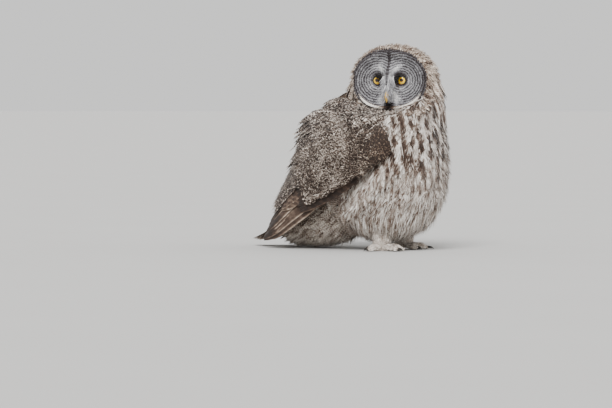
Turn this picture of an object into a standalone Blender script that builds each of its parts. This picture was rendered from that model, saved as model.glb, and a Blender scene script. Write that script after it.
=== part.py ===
# Great grey owl at life size, standing on the floor with its head turned to its right.
# It faces -Y. The design is laid out round the point on the floor between its feet, and
# the last step moves the whole bird so that the origin is the bottom centre of its box.

import math
import random

import bmesh
import bpy
import numpy as np
from mathutils import Matrix, Vector

# Sizes are in metres.
GAP = 0.0003          # left between pieces that touch
CUT_GAP = 0.0004      # how far a cutter is grown, so that GAP is left on its facets too
BOX_CENTRE_Y = 0.1165 # how far the box's centre lies behind the feet

# Body plumage, as level slices: height, front, back, half width.
BODY_SLICES = (
    (0.036, -0.022, 0.034, 0.026),
    (0.045, -0.056, 0.070, 0.052),
    (0.060, -0.084, 0.108, 0.075),
    (0.080, -0.107, 0.138, 0.092),
    (0.105, -0.122, 0.159, 0.104),
    (0.135, -0.130, 0.171, 0.111),
    (0.170, -0.133, 0.176, 0.115),
    (0.210, -0.132, 0.174, 0.115),
    (0.250, -0.129, 0.166, 0.111),
    (0.285, -0.121, 0.148, 0.102),
)
BODY_FULLNESS = 2.2   # 2 is an ellipse, more is squarer
BODY_SIDES = 32
NECK_HEIGHT = 0.285   # where the neck parts from the torso

# Head, laid out round its own centre and turned to the bird's right.
HEAD_CENTRE = Vector((-0.002, -0.017, 0.373))
HEAD_TURN = math.radians(-74)   # from facing -Y, seen from above, to its right
HEAD_HALF_WIDTH = 0.097
HEAD_RISE = 0.077     # centre to crown, and centre to throat
HEAD_FRONT = 0.058    # depth of the whole round form in front of the centre
HEAD_BACK = 0.086
HEAD_SHOULDER = 0.55  # under 1 keeps the head wide right up to the rim of the disc
DISC_HALF_WIDTH = 0.0775
DISC_HALF_HEIGHT = 0.0620
DISC_RIM_ANGLE = math.radians(53)   # where the round form of the head meets the disc
DISC_FULLNESS = 2.15  # 2 is an ellipse, more is squarer
DISC_TOP_DIP = (0.07, 0.16)      # how deep the rim dips above, and how wide
DISC_BOTTOM_DIP = (0.05, 0.18)
FACE_AHEAD_OF_HEAD = 0.0475      # the middle of the face, in front of the head's centre
FACE_FALL = (0.0070, 0.0035)     # how far the face falls back at its side and at its top
FACE_DISH = (0.0060, 0.68, 0.22) # depth, middle and width of the hollow inside the rim
FACE_RIDGE = (0.0150, 0.0095)    # height and half width of the ridge between the eyes
EYE_HOLLOW = (0.0085, 0.0135)    # depth and radius of the hollow round each eye
EYE_OFFSET = 0.027
EYE_RADIUS = 0.0135
EYE_DEPTH = 0.0300    # the eyeball's centre, in front of the head's
LID_RADIUS = 0.0104   # middle of the lids' rim
LID_THICKNESS = 0.0020
LID_DEPTH = 0.0398
NOSTRIL_RADIUS = 0.0011
NOSTRIL_PLACE = (0.0052, -0.0235, 0.0605)   # sideways, up and ahead of the head's centre
HEAD_SIDES = 36
RUFF_VANES = 26       # round the rim of the disc
RUFF_LENGTH = 0.021
RUFF_HALF_WIDTH = 0.0070
RUFF_SINK = 0.010     # how far inside the rim the vanes are rooted
RUFF_TILT = 0.16      # each vane leans over the next one
FACE_VANES = 8        # round each eye
FACE_VANE_WIDTH = 0.0125
FACE_VANE_TILT = 0.12
FACE_VANE_STEPS = (0.0, 0.3, 0.7, 0.92, 1.0)
FACE_VANE_LIFTS = (-0.0016, 0.0006, 0.0012, 0.0016, 0.0017)

# Bill, from base to tip: up and ahead of the head's centre, half width, half height.
UPPER_BILL = (
    (-0.016, 0.050, 0.0062, 0.0080),
    (-0.024, 0.058, 0.0060, 0.0066),
    (-0.033, 0.0625, 0.0048, 0.0050),
    (-0.042, 0.0630, 0.0030, 0.0030),
    (-0.049, 0.0605, 0.0006, 0.0006),
)
LOWER_BILL = (
    (-0.024, 0.046, 0.0050, 0.0040),
    (-0.034, 0.0535, 0.0046, 0.0034),
    (-0.041, 0.0560, 0.0030, 0.0022),
    (-0.045, 0.0560, 0.0006, 0.0006),
)

# Top ring of the neck, hidden inside the head.
NECK_TOP = 0.362
NECK_TOP_FRONT = -0.090
NECK_TOP_BACK = 0.052
NECK_TOP_FACE_SIDE = 0.015
NECK_TOP_FAR_SIDE = 0.066
NECK_RINGS = 8

# The right wing as a sheet: its lower edge, its middle and its upper edge, from wrist to tip.
WING_SHARES = (0.0, 0.2, 0.4, 0.6, 0.8, 1.0)
WING_LOWER = (
    (-0.106, -0.082, 0.206),
    (-0.129, -0.006, 0.150),
    (-0.134, 0.080, 0.102),
    (-0.126, 0.158, 0.066),
    (-0.112, 0.220, 0.038),
    (-0.098, 0.272, 0.018),
)
WING_MIDDLE = (
    (-0.119, -0.074, 0.244),
    (-0.138, 0.034, 0.222),
    (-0.134, 0.128, 0.178),
    (-0.114, 0.194, 0.128),
    (-0.098, 0.240, 0.080),
    (-0.094, 0.280, 0.030),
)
WING_UPPER = (
    (-0.097, -0.032, 0.288),
    (-0.088, 0.118, 0.294),
    (-0.074, 0.174, 0.244),
    (-0.052, 0.206, 0.184),
    (-0.046, 0.244, 0.124),
    (-0.088, 0.284, 0.044),
)
ARM_END = 0.62        # how far down the sheet the arm's solid reaches
ARM_THICKNESS = 0.030
ARM_END_THICKNESS = 0.0035
ARM_ROUNDING = 0.012

# Feathers
VANE_THICKNESS = 0.0008
SHINGLE_RISE = 0.0023   # how far each vane stands over the one that it covers
VANE_STEPS = (0.0, 0.15, 0.5, 0.82, 1.0)
VANE_WIDTHS = (0.5, 0.85, 1.0, 0.9, 0.4)
VANE_LIFTS = (-0.0030, 0.0016, 0.0022, 0.0044, 0.0058)

# Wing tiers: count, first and last root, first and last tip as (share, across), vane width,
# and how far the whole tier lies out from the sheet.
WING_TIERS = {
    "primaries": (6, (0.36, 0.10), (0.42, 0.50), (1.00, 0.04), (0.84, 0.60), 0.020, -0.0045),
    "secondaries": (7, (0.34, 0.26), (0.30, 0.84), (0.66, 0.30), (0.76, 0.80), 0.024, -0.0005),
    "tertials": (3, (0.26, 0.84), (0.26, 0.98), (0.80, 0.88), (0.72, 1.02), 0.026, 0.0020),
    "greater_coverts": (7, (0.24, 0.16), (0.22, 0.82), (0.46, 0.16), (0.50, 0.84), 0.023, 0.0),
    "median_coverts": (5, (0.13, 0.22), (0.12, 0.80), (0.31, 0.20), (0.33, 0.84), 0.032, 0.0008),
    "lesser_coverts": (4, (0.03, 0.28), (0.03, 0.82), (0.18, 0.24), (0.20, 0.86), 0.036, 0.0016),
    "scapulars": (6, (0.06, 0.84), (0.20, 0.96), (0.34, 0.74), (0.54, 1.00), 0.027, 0.0046),
}
TUFT_LIFT = 0.016     # how far the loosest of the scapular tufts stands out at its tip
TUFT_SHARES = (0.35, 0.9, 0.5, 1.0, 0.3, 0.6)   # how loose each tuft is
VANE_LENGTH_VARIATION = 0.012
VARIATION_SEED = 7

# Tail, closed, its tip laid on the floor: height of its top along the middle.
TAIL_LINE = (
    (0.130, 0.144),
    (0.200, 0.102),
    (0.250, 0.072),
    (0.300, 0.044),
    (0.330, 0.029),
    (0.366, 0.0165),
)
TAIL_PAIRS = 6
TAIL_FEATHER_WIDTH = 0.042
TAIL_FEATHER_STEP = 0.0088   # sideways, from one feather's middle to the next
TAIL_LEVEL_STEP = 0.00125    # downwards, from one feather to the next
TAIL_TIP_STEP = 0.011        # how much shorter each pair is than the pair inside it
TAIL_ROOT = 0.135
TAIL_TIP = 0.366
TAIL_STEPS = (0.0, 0.22, 0.5, 0.78, 1.0)
TAIL_CAMBER = 0.20    # how steeply the tail falls away to its sides
RUMP_LINE = (
    (0.120, 0.124, 0.074, 0.040),
    (0.165, 0.104, 0.062, 0.026),
    (0.205, 0.086, 0.046, 0.016),
    (0.240, 0.068, 0.026, 0.008),
)   # rump and tail coverts: how far back, height of the middle, half width, half thickness
VENT_LINE = (
    (0.080, 0.088, 0.070, 0.052),
    (0.130, 0.074, 0.066, 0.050),
    (0.180, 0.055, 0.054, 0.038),
    (0.225, 0.038, 0.034, 0.022),
    (0.255, 0.028, 0.012, 0.008),
)   # undertail coverts, the same way

# Legs and feet.
FOOT_SPREAD = 0.046
FOOT_Y = -0.012
ANKLE_HEIGHT = 0.026
LEG_TOP = 0.100
LEG_TOP_RADIUS = 0.034
LEG_ANKLE_RADIUS = 0.017
LEG_LEAN = 0.016      # how far back the top of the leg lies
TOE_WIDTH = 0.019
TOE_HEIGHT = 0.017
CLAW_LENGTH = 0.026
CLAW_RADIUS = 0.0038
# Toe: how far it turns outwards from straight ahead, in degrees, and its length.
TOES = {
    "inner": (-20, 0.046),
    "middle": (14, 0.052),
    "outer": (98, 0.043),
    "hind": (190, 0.034),
}


def clear_scene():
    for thing in list(bpy.data.objects):
        bpy.data.objects.remove(thing)


def material(name, colour, roughness, metallic=0.0):
    made = bpy.data.materials.new(name)
    made.use_nodes = True
    shader = made.node_tree.nodes["Principled BSDF"]
    shader.inputs["Base Color"].default_value = (*colour, 1.0)
    shader.inputs["Roughness"].default_value = roughness
    shader.inputs["Metallic"].default_value = metallic
    return made


def along(knots, values, at):
    """A smooth curve through values at knots, straight on past its ends."""
    knots = np.asarray(knots, float)
    values = np.asarray(values, float)
    slopes = np.gradient(values, knots, axis=0)
    if at <= knots[0]:
        return values[0] + slopes[0] * (at - knots[0])
    if at >= knots[-1]:
        return values[-1] + slopes[-1] * (at - knots[-1])
    i = int(np.searchsorted(knots, at, side="right")) - 1
    span = knots[i + 1] - knots[i]
    t = (at - knots[i]) / span
    return (
        (2 * t**3 - 3 * t**2 + 1) * values[i]
        + (t**3 - 2 * t**2 + t) * span * slopes[i]
        + (3 * t**2 - 2 * t**3) * values[i + 1]
        + (t**3 - t**2) * span * slopes[i + 1]
    )


def ease(share):
    share = min(1.0, max(0.0, share))
    return share * share * (3 - 2 * share)


def rounded(value, fullness):
    """A sine or cosine bent towards a squarer outline."""
    return math.copysign(abs(value) ** (2 / fullness), value)


def mesh_object(name, bm, finish):
    bmesh.ops.recalc_face_normals(bm, faces=bm.faces)
    mesh = bpy.data.meshes.new(name)
    bm.to_mesh(mesh)
    bm.free()
    made = bpy.data.objects.new(name, mesh)
    bpy.context.scene.collection.objects.link(made)
    mesh.materials.append(finish)
    mesh.shade_smooth()
    mesh.set_sharp_from_angle(angle=math.radians(40))
    return made


def loft(name, rings, finish):
    """A closed body through rings of points. A ring of one point closes an end in a tip."""
    bm = bmesh.new()
    loops = [[bm.verts.new(point) for point in ring] for ring in rings]
    for first, second in zip(loops, loops[1:]):
        count = max(len(first), len(second))
        for i in range(count):
            corners = [
                first[i % len(first)],
                first[(i + 1) % len(first)],
                second[(i + 1) % len(second)],
                second[i % len(second)],
            ]
            bm.faces.new(list(dict.fromkeys(corners)))
    for end in (loops[0], loops[-1]):
        if len(end) > 2:
            bm.faces.new(end)
    return mesh_object(name, bm, finish)


def evaluated_copy(thing):
    """Applies the object's modifiers."""
    graph = bpy.context.evaluated_depsgraph_get()
    mesh = bpy.data.meshes.new_from_object(thing.evaluated_get(graph))
    thing.modifiers.clear()
    thing.data = mesh


def keep_largest(thing):
    """Leaves only the largest closed surface of the object."""
    bm = bmesh.new()
    bm.from_mesh(thing.data)
    left = set(bm.verts)
    islands = []
    while left:
        island, edge = set(), [left.pop()]
        while edge:
            vert = edge.pop()
            island.add(vert)
            for link in vert.link_edges:
                other = link.other_vert(vert)
                if other in left:
                    left.remove(other)
                    edge.append(other)
        islands.append(island)

    def reach(island):
        points = np.array([vert.co for vert in island])
        return float(np.prod(points.max(axis=0) - points.min(axis=0)))

    islands.sort(key=reach)
    scraps = [vert for island in islands[:-1] for vert in island]
    bmesh.ops.delete(bm, geom=scraps, context="VERTS")
    bm.to_mesh(thing.data)
    bm.free()


def combine(thing, others, operation, remove=True):
    """One Boolean of the object with all the others at once."""
    group = bpy.data.collections.new("operands")
    for other in others:
        group.objects.link(other)
    cut = thing.modifiers.new(operation.title(), "BOOLEAN")
    cut.operation = operation
    cut.solver = "MANIFOLD"
    cut.operand_type = "COLLECTION"
    cut.collection = group
    bpy.context.view_layer.update()
    evaluated_copy(thing)
    bpy.data.collections.remove(group)
    if remove:
        for other in others:
            bpy.data.objects.remove(other)
    keep_largest(thing)
    return thing



def grown(thing, by=CUT_GAP):
    """A copy of a smooth closed body, its skin moved outwards."""
    copy = thing.copy()
    copy.data = thing.data.copy()
    copy.name = thing.name + "_grown"
    copy.hide_render = True
    copy.display_type = "WIRE"
    bpy.context.scene.collection.objects.link(copy)
    bm = bmesh.new()
    bm.from_mesh(copy.data)
    bm.normal_update()
    moves = [vert.normal * by for vert in bm.verts]
    for vert, move in zip(bm.verts, moves):
        vert.co += move
    bm.to_mesh(copy.data)
    bm.free()
    return copy


# Feathers

def vane(rows, finish):
    """A thin feather through rows of (middle, across, out, half width), closed at both ends."""
    bm = bmesh.new()
    rings = []
    for middle, across, out, half_width in rows:
        lift = out * (VANE_THICKNESS / 2)
        side = across * half_width
        rings.append([
            bm.verts.new(middle - side - lift),
            bm.verts.new(middle + side - lift),
            bm.verts.new(middle + side + lift),
            bm.verts.new(middle - side + lift),
        ])
    for near, far in zip(rings, rings[1:]):
        for a, b in ((0, 1), (3, 2)):
            bm.faces.new((near[a], near[b], far[b]))
            bm.faces.new((near[a], far[b], far[a]))
        for a, b in ((1, 2), (3, 0)):
            bm.faces.new((near[a], near[b], far[b], far[a]))
    bm.faces.new(rings[0])
    bm.faces.new(rings[-1])
    return mesh_object("vane", bm, finish)


def vane_rows(path, outs, half_width, tilt):
    """Rows for a vane along a path. The tilt lowers its side that the next one covers."""
    rows = []
    last = len(path) - 1
    for i, (point, out) in enumerate(zip(path, outs)):
        ahead = (path[min(i + 1, last)] - path[max(i - 1, 0)]).normalized()
        across = out.cross(ahead).normalized()
        out = ahead.cross(across).normalized()
        tilted = (across - out * tilt).normalized()
        rows.append((point, tilted, tilted.cross(ahead).normalized() * -1, half_width * VANE_WIDTHS[i]))
    return rows


# Body

def body_point(height, angle):
    """A point of the body plumage. Angle 0 is the breast and a quarter turn the bird's left."""
    heights = [row[0] for row in BODY_SLICES]
    front, back, half_width = along(heights, [row[1:] for row in BODY_SLICES], height)
    middle, half_depth = (front + back) / 2, (back - front) / 2
    return Vector((
        half_width * rounded(math.sin(angle), BODY_FULLNESS),
        middle - half_depth * rounded(math.cos(angle), BODY_FULLNESS),
        height,
    ))


def turns(count):
    return [2 * math.pi * i / count for i in range(count)]


def make_torso(finish):
    heights = [row[0] for row in BODY_SLICES]
    rings = [[body_point(level, a) for a in turns(BODY_SIDES)] for level in heights]
    return loft("torso", rings, finish)


def neck_point(share, angle):
    """From the body's top slice at share 0 to an oval inside the head at share 1."""
    low = body_point(NECK_HEIGHT, angle)
    side, ahead = math.sin(angle), math.cos(angle)
    reach_x = NECK_TOP_FAR_SIDE if side > 0 else NECK_TOP_FACE_SIDE
    middle = (NECK_TOP_FRONT + NECK_TOP_BACK) / 2
    half_depth = (NECK_TOP_BACK - NECK_TOP_FRONT) / 2
    high = Vector((reach_x * side, middle - half_depth * ahead, NECK_TOP))
    faceward = max(0.0, -math.sin(angle)) ** 1.5
    falloff = (1 - share ** (3.2 - 1.9 * faceward)) ** (1.0 + 2.0 * faceward)
    point = high.lerp(low, falloff)
    point.z = NECK_HEIGHT + GAP + (NECK_TOP - NECK_HEIGHT - GAP) * share
    return point


def make_neck(head_form, finish):
    rings = [
        [neck_point(i / (NECK_RINGS - 1), a) for a in turns(BODY_SIDES)]
        for i in range(NECK_RINGS)
    ]
    neck = loft("neck", rings, finish)
    return combine(neck, [grown(head_form, 2 * CUT_GAP)], "DIFFERENCE")


# Head

FACE_AHEAD = Vector((math.sin(HEAD_TURN), -math.cos(HEAD_TURN), 0))
FACE_LEFT = Vector((math.cos(HEAD_TURN), math.sin(HEAD_TURN), 0))


def from_head(left, up, ahead):
    """A point given from the head's centre, towards the bird's left, up and out of the face."""
    return HEAD_CENTRE + FACE_LEFT * left + Vector((0, 0, up)) + FACE_AHEAD * ahead


def disc_outline(angle):
    """The rim of the facial disc, angle 0 upwards: two lobes with a dip above and below."""
    top, top_width = DISC_TOP_DIP
    bottom, bottom_width = DISC_BOTTOM_DIP
    scale = 1 - top * math.exp(-((math.sin(angle / 2) / top_width) ** 2))
    scale -= bottom * math.exp(-((math.cos(angle / 2) / bottom_width) ** 2))
    return (
        DISC_HALF_WIDTH * rounded(math.sin(angle), DISC_FULLNESS) * scale,
        DISC_HALF_HEIGHT * rounded(math.cos(angle), DISC_FULLNESS) * scale,
    )


def face_depth(left, up):
    """How far the face stands out from the head's centre."""
    across, tall = left / DISC_HALF_WIDTH, up / DISC_HALF_HEIGHT
    share = min(1.0, math.hypot(across, tall))
    depth = FACE_AHEAD_OF_HEAD - FACE_FALL[0] * across**2 - FACE_FALL[1] * tall**2
    dish, dish_middle, dish_width = FACE_DISH
    depth -= dish * math.exp(-(((share - dish_middle) / dish_width) ** 2))
    height, half_width = FACE_RIDGE
    ridge = math.exp(-((left / half_width) ** 2)) * ease((0.045 - up) / 0.05)
    depth += height * ridge * ease((up + 0.052) / 0.03)
    hollow, radius = EYE_HOLLOW
    for side in (-1, 1):
        away = math.hypot(left - side * EYE_OFFSET, up)
        depth -= hollow * math.exp(-((away / radius) ** 2))
    return depth


def head_ring(angle_from_face, count):
    """A ring of the round form of the head."""
    ahead = math.cos(angle_from_face)
    depth = ahead * (HEAD_FRONT if ahead > 0 else HEAD_BACK)
    wide = math.sin(angle_from_face) ** (HEAD_SHOULDER if ahead > 0 else 1)
    ring = []
    for a in turns(count):
        ring.append(from_head(
            HEAD_HALF_WIDTH * wide * math.sin(a),
            HEAD_RISE * wide * math.cos(a),
            depth,
        ))
    return ring


def make_head_form(finish):
    """The head with its dished face, before eyes, bill and feathers."""
    rings = [[from_head(0, 0, face_depth(0, 0))]]
    for share in (0.12, 0.24, 0.36, 0.48, 0.60, 0.72, 0.86, 1.0):
        ring = []
        for a in turns(HEAD_SIDES):
            left, up = (size * share for size in disc_outline(a))
            ring.append(from_head(left, up, face_depth(left, up)))
        rings.append(ring)
    for i in range(7):
        angle = DISC_RIM_ANGLE + (math.pi - DISC_RIM_ANGLE) * (i + 0.35) / 7
        rings.append(head_ring(angle, HEAD_SIDES))
    rings.append([from_head(0, 0, -HEAD_BACK)])
    return loft("head", rings, finish)


def eye_centre(side):
    return from_head(side * EYE_OFFSET, 0, EYE_DEPTH)


def make_lids(side, finish):
    """The rim of the lids round one eye."""
    rings = []
    for a in turns(16):
        radial = FACE_LEFT * math.sin(a) + Vector((0, 0, math.cos(a)))
        middle = from_head(side * EYE_OFFSET, 0, LID_DEPTH) + radial * LID_RADIUS
        rings.append([
            middle + LID_THICKNESS * (radial * math.cos(b) + FACE_AHEAD * math.sin(b))
            for b in turns(5)
        ])
    bm = bmesh.new()
    loops = [[bm.verts.new(point) for point in ring] for ring in rings]
    for i, first in enumerate(loops):
        second = loops[(i + 1) % len(loops)]
        for j in range(5):
            k = (j + 1) % 5
            bm.faces.new((first[j], first[k], second[k], second[j]))
    return mesh_object("lids", bm, finish)


def face_point(left, up, lift):
    return from_head(left, up, face_depth(left, up) + lift)


def make_face_vanes(side, finish):
    """Feathers that spread from one eye over its half of the disc."""
    vanes = []
    for i in range(FACE_VANES):
        angle = 2 * math.pi * (i + 0.5) / FACE_VANES
        ahead = (side * math.sin(angle), math.cos(angle))
        reach = LID_RADIUS
        while reach < 0.06:
            left, up = side * EYE_OFFSET + ahead[0] * reach, ahead[1] * reach
            rim = math.hypot(left / DISC_HALF_WIDTH, up / DISC_HALF_HEIGHT)
            if rim > 0.90 or side * left < 0.011:
                break
            reach += 0.001
        start = LID_RADIUS * 0.9
        path, outs = [], []
        for share, lift in zip(FACE_VANE_STEPS, FACE_VANE_LIFTS):
            away = start + (reach - start) * share
            path.append(face_point(side * EYE_OFFSET + ahead[0] * away, ahead[1] * away, lift))
            outs.append(FACE_AHEAD)
        widening = 0.55 + 0.45 * (reach / 0.04)
        half_width = FACE_VANE_WIDTH * widening / 2
        vanes.append(vane(vane_rows(path, outs, half_width, side * FACE_VANE_TILT), finish))
    return vanes


def make_ruff(finish):
    """The rim of the disc: short stiff feathers that lean outwards and back over the head."""
    vanes = []
    for i in range(RUFF_VANES):
        angle = 2 * math.pi * (i + 0.5) / RUFF_VANES
        left, up = disc_outline(angle)
        radial = Vector((left / DISC_HALF_WIDTH, up / DISC_HALF_HEIGHT)).normalized()
        path, outs = [], []
        for share in VANE_STEPS:
            grow = RUFF_LENGTH * share
            spread = grow * (0.92 - 0.30 * share) - RUFF_SINK
            depth = face_depth(left, up) - 0.0030 + 0.0060 * math.sin(share * 2.0) - 0.0118 * share**2
            point = from_head(left + radial.x * spread, up + radial.y * spread, depth)
            path.append(point)
            outs.append((FACE_AHEAD * 0.8 + FACE_LEFT * radial.x * 0.5
                         + Vector((0, 0, radial.y * 0.5))).normalized())
        half_width = RUFF_HALF_WIDTH * (1.0 + 0.2 * abs(radial.x))
        vanes.append(vane(vane_rows(path, outs, half_width, RUFF_TILT), finish))
    return vanes


def make_ball(name, centre, radius, finish, segments=16, rings=9):
    bm = bmesh.new()
    bmesh.ops.create_uvsphere(bm, u_segments=segments, v_segments=rings, radius=radius)
    bmesh.ops.translate(bm, verts=bm.verts, vec=centre)
    return mesh_object(name, bm, finish)


def make_horn(name, line, finish):
    """A curved horn through (up, ahead, half width, half height) rows, ending in a point."""
    rings = []
    for up, ahead, half_width, half_height in line:
        ring = []
        for a in turns(12):
            ring.append(from_head(
                half_width * math.sin(a),
                up + half_height * 0.5 * math.cos(a),
                ahead + half_height * math.cos(a),
            ))
        rings.append(ring)
    return loft(name, rings, finish)


def make_bill(finish):
    upper = make_horn("bill_upper", UPPER_BILL, finish)
    lower = make_horn("bill_lower", LOWER_BILL, finish)
    combine(lower, [grown(upper)], "DIFFERENCE")
    combine(upper, [make_nostril(side, finish) for side in (-1, 1)], "DIFFERENCE")
    return upper, lower


def make_nostril(side, finish):
    aside, up, ahead = NOSTRIL_PLACE
    centre = from_head(side * aside, up, ahead)
    return make_ball("nostril", centre, NOSTRIL_RADIUS, finish, 8, 5)


# Wings

def wing_point(share, across):
    """A point of the right wing's sheet: wrist 0 to tip 1, lower edge 0 to upper edge 1."""
    low = along(WING_SHARES, WING_LOWER, share)
    middle = along(WING_SHARES, WING_MIDDLE, share)
    high = along(WING_SHARES, WING_UPPER, share)
    point = (
        2 * (across - 0.5) * (across - 1) * low
        + 4 * across * (1 - across) * middle
        + 2 * across * (across - 0.5) * high
    )
    return Vector(point)


def wing_frame(share, across):
    """The sheet's point, its two directions and its outward normal."""
    step = 0.01
    here = wing_point(share, across)
    lengthwise = (wing_point(share + step, across) - wing_point(share - step, across)) / (2 * step)
    crosswise = (wing_point(share, across + step) - wing_point(share, across - step)) / (2 * step)
    return here, lengthwise, crosswise, crosswise.cross(lengthwise).normalized()


def mirrored(point, side):
    """The wing is laid out on the bird's right, and this takes a point to either side."""
    return Vector((-side * point.x, point.y, point.z))


def arm_drop(share, across):
    """How far the arm's top lies under the wing's sheet, which is where it rounds off."""
    edge = ease(across / 0.15) * ease((1 - across) / 0.15) * ease((share + 0.02) / 0.08)
    return ARM_ROUNDING * (1 - edge) * (1 - share)


def make_arm(side, finish):
    """The solid of the folded arm, which the wing's feathers grow from."""
    rings = []
    steps = 8
    for i in range(steps + 1):
        share = ARM_END * i / steps
        top, under = [], []
        for j in range(9):
            across = j / 8
            here, _, _, out = wing_frame(share, across)
            drop = arm_drop(share, across)
            full = 1 - ease(share / 0.58)
            thick = ARM_END_THICKNESS + (ARM_THICKNESS - ARM_END_THICKNESS) * full
            top.append(here - out * drop)
            under.append(here - out * (thick + drop))
        rings.append([mirrored(point, side) for point in top + under[::-1]])
    return loft("wing_left" if side > 0 else "wing_right", rings, finish)


def wing_vane(side, start, end, half_width, lift, tip_lift, tilt, finish):
    """A feather from one place on the wing's sheet to another, its root sunk in the arm."""
    path, outs = [], []
    for share, rise in zip(VANE_STEPS, VANE_LIFTS):
        lengthwise = start[0] + (end[0] - start[0]) * share
        crosswise = start[1] + (end[1] - start[1]) * share
        here, _, _, out = wing_frame(lengthwise, crosswise)
        root = ease(share / 0.15)
        sunk = (1 - ease(share / 0.5)) * arm_drop(lengthwise, min(1.0, max(0.0, crosswise)))
        height = rise + root * lift + tip_lift * share**3 - sunk
        path.append(mirrored(here + out * height, side))
        outs.append(mirrored(out, side))
    return vane(vane_rows(path, outs, half_width, -side * tilt), finish)


def make_tier(side, draw, tier, finish):
    count, first_root, last_root, first_tip, last_tip, width, lift = WING_TIERS[tier]
    vanes = []
    for i in range(count):
        share = i / (count - 1)
        start = [a + (b - a) * share for a, b in zip(first_root, last_root)]
        end = [a + (b - a) * share for a, b in zip(first_tip, last_tip)]
        if tier == "primaries":
            end[0] = first_tip[0] + (last_tip[0] - first_tip[0]) * share**1.6
        end[0] += draw.uniform(-VANE_LENGTH_VARIATION, VANE_LENGTH_VARIATION)
        end[1] += draw.uniform(-VANE_LENGTH_VARIATION, VANE_LENGTH_VARIATION)
        span = (wing_point(*last_root) - wing_point(*first_root)).length / (count - 1)
        tilt = min(0.30, SHINGLE_RISE / max(span, 0.005))
        tip_lift = TUFT_LIFT * TUFT_SHARES[i] if tier == "scapulars" else 0.0
        half_width = width / 2 * draw.uniform(0.94, 1.06)
        vanes.append(wing_vane(side, start, end, half_width, lift, tip_lift, tilt, finish))
    return vanes


def make_wing(side, finish):
    draw = random.Random(VARIATION_SEED + side)
    wing = make_arm(side, finish)
    vanes = [piece for tier in WING_TIERS for piece in make_tier(side, draw, tier, finish)]
    return combine(wing, vanes, "UNION")


# Tail

def tail_top(y):
    return float(along([row[0] for row in TAIL_LINE], [row[1] for row in TAIL_LINE], y))


def make_covert_cone(name, line, finish):
    rings = []
    for y, z, half_width, half_thick in line:
        rings.append([
            (half_width * math.sin(a), y, z + half_thick * math.cos(a)) for a in turns(18)
        ])
    return loft(name, rings, finish)


def make_tail_feather(pair, side, draw, finish):
    """One tail feather. The middle pair lies on top, and each next one lies lower."""
    level = 2 * pair + (1 if side > 0 else 0)
    tip = TAIL_TIP - TAIL_TIP_STEP * pair + draw.uniform(-0.002, 0.002)
    path, outs = [], []
    for share in TAIL_STEPS:
        y = TAIL_ROOT + (tip - TAIL_ROOT) * share
        spread = 0.55 + 0.45 * ease(share)
        x = side * (0.004 + TAIL_FEATHER_STEP * pair) * spread
        height = tail_top(y) - TAIL_LEVEL_STEP * level - TAIL_CAMBER * abs(x)
        height = max(height, VANE_THICKNESS / 2)
        path.append(Vector((x, y, height)))
        outs.append(Vector((0, 0, 1)))
    return vane(vane_rows(path, outs, TAIL_FEATHER_WIDTH / 2, 0.0), finish)


def make_tail(finish):
    draw = random.Random(VARIATION_SEED)
    tail = make_covert_cone("tail", RUMP_LINE, finish)
    pieces = [make_covert_cone("vent", VENT_LINE, finish)]
    for pair in range(TAIL_PAIRS):
        for side in (-1, 1):
            pieces.append(make_tail_feather(pair, side, draw, finish))
    return combine(tail, pieces, "UNION")


# Legs and feet

def foot_origin(side):
    return Vector((side * FOOT_SPREAD, FOOT_Y, 0))


def make_leg(side, finish):
    name = "leg_left" if side > 0 else "leg_right"
    rings = []
    for share in (0.0, 0.2, 0.45, 0.7, 1.0):
        radius = LEG_ANKLE_RADIUS + (LEG_TOP_RADIUS - LEG_ANKLE_RADIUS) * ease(share)
        height = ANKLE_HEIGHT + GAP + (LEG_TOP - ANKLE_HEIGHT) * share
        middle = foot_origin(side) + Vector((0, LEG_LEAN * share, height))
        rings.append([
            middle + Vector((radius * math.cos(a), 1.1 * radius * math.sin(a), 0))
            for a in turns(20)
        ])
    return loft(name, rings, finish)


def toe_direction(side, turn):
    angle = math.radians(turn)
    return Vector((side * math.sin(angle), -math.cos(angle), 0))


def make_toe(side, turn, length, finish):
    """A feathered toe with a flat sole, from the ankle outwards."""
    ahead = toe_direction(side, turn)
    across = Vector((-ahead.y, ahead.x, 0))
    rings = []
    for share in (0.0, 0.25, 0.5, 0.75, 0.92, 1.0):
        swell = 1 - 0.22 * share - 0.35 * ease((share - 0.8) / 0.2)
        middle = foot_origin(side) + ahead * length * share
        ring = []
        for a in turns(10):
            level = max(0.0, TOE_HEIGHT * swell * (0.42 + 0.58 * math.cos(a)))
            ring.append(middle + across * 0.5 * TOE_WIDTH * swell * math.sin(a) + Vector((0, 0, level)))
        rings.append(ring)
    return loft("toe", rings, finish)


def make_ankle(side, finish):
    rings = []
    for height, radius in ((0.0, 0.0125), (0.010, 0.0150), (ANKLE_HEIGHT, LEG_ANKLE_RADIUS)):
        middle = foot_origin(side) + Vector((0, 0, height))
        rings.append([
            middle + Vector((radius * math.cos(a), 1.1 * radius * math.sin(a), 0))
            for a in turns(20)
        ])
    return loft("foot_left" if side > 0 else "foot_right", rings, finish)


def make_claw(name, side, turn, length, finish):
    """A curved claw that grows from the end of its toe and bends down to the floor."""
    ahead = toe_direction(side, turn)
    across = Vector((-ahead.y, ahead.x, 0))
    root = foot_origin(side) + ahead * (length + GAP) + Vector((0, 0, 0.0048))
    bend_radius = CLAW_LENGTH / math.radians(80)
    rings = []
    for share in (0.0, 0.25, 0.5, 0.75):
        bend = math.radians(80) * share
        rise = 0.0014 * math.sin(math.pi * share)
        drop = bend_radius * (1 - math.cos(bend)) * 0.26
        middle = root + ahead * bend_radius * math.sin(bend) * 0.9 + Vector((0, 0, rise - drop))
        radius = CLAW_RADIUS * (1 - share) ** 0.7
        rings.append([
            middle + across * radius * math.sin(a) + Vector((0, 0, radius * math.cos(a)))
            for a in turns(8)
        ])
    end = root + ahead * bend_radius * math.sin(math.radians(80)) * 0.9
    rings.append([Vector((end.x, end.y, 0.0006))])
    return loft(name, rings, finish)


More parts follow.
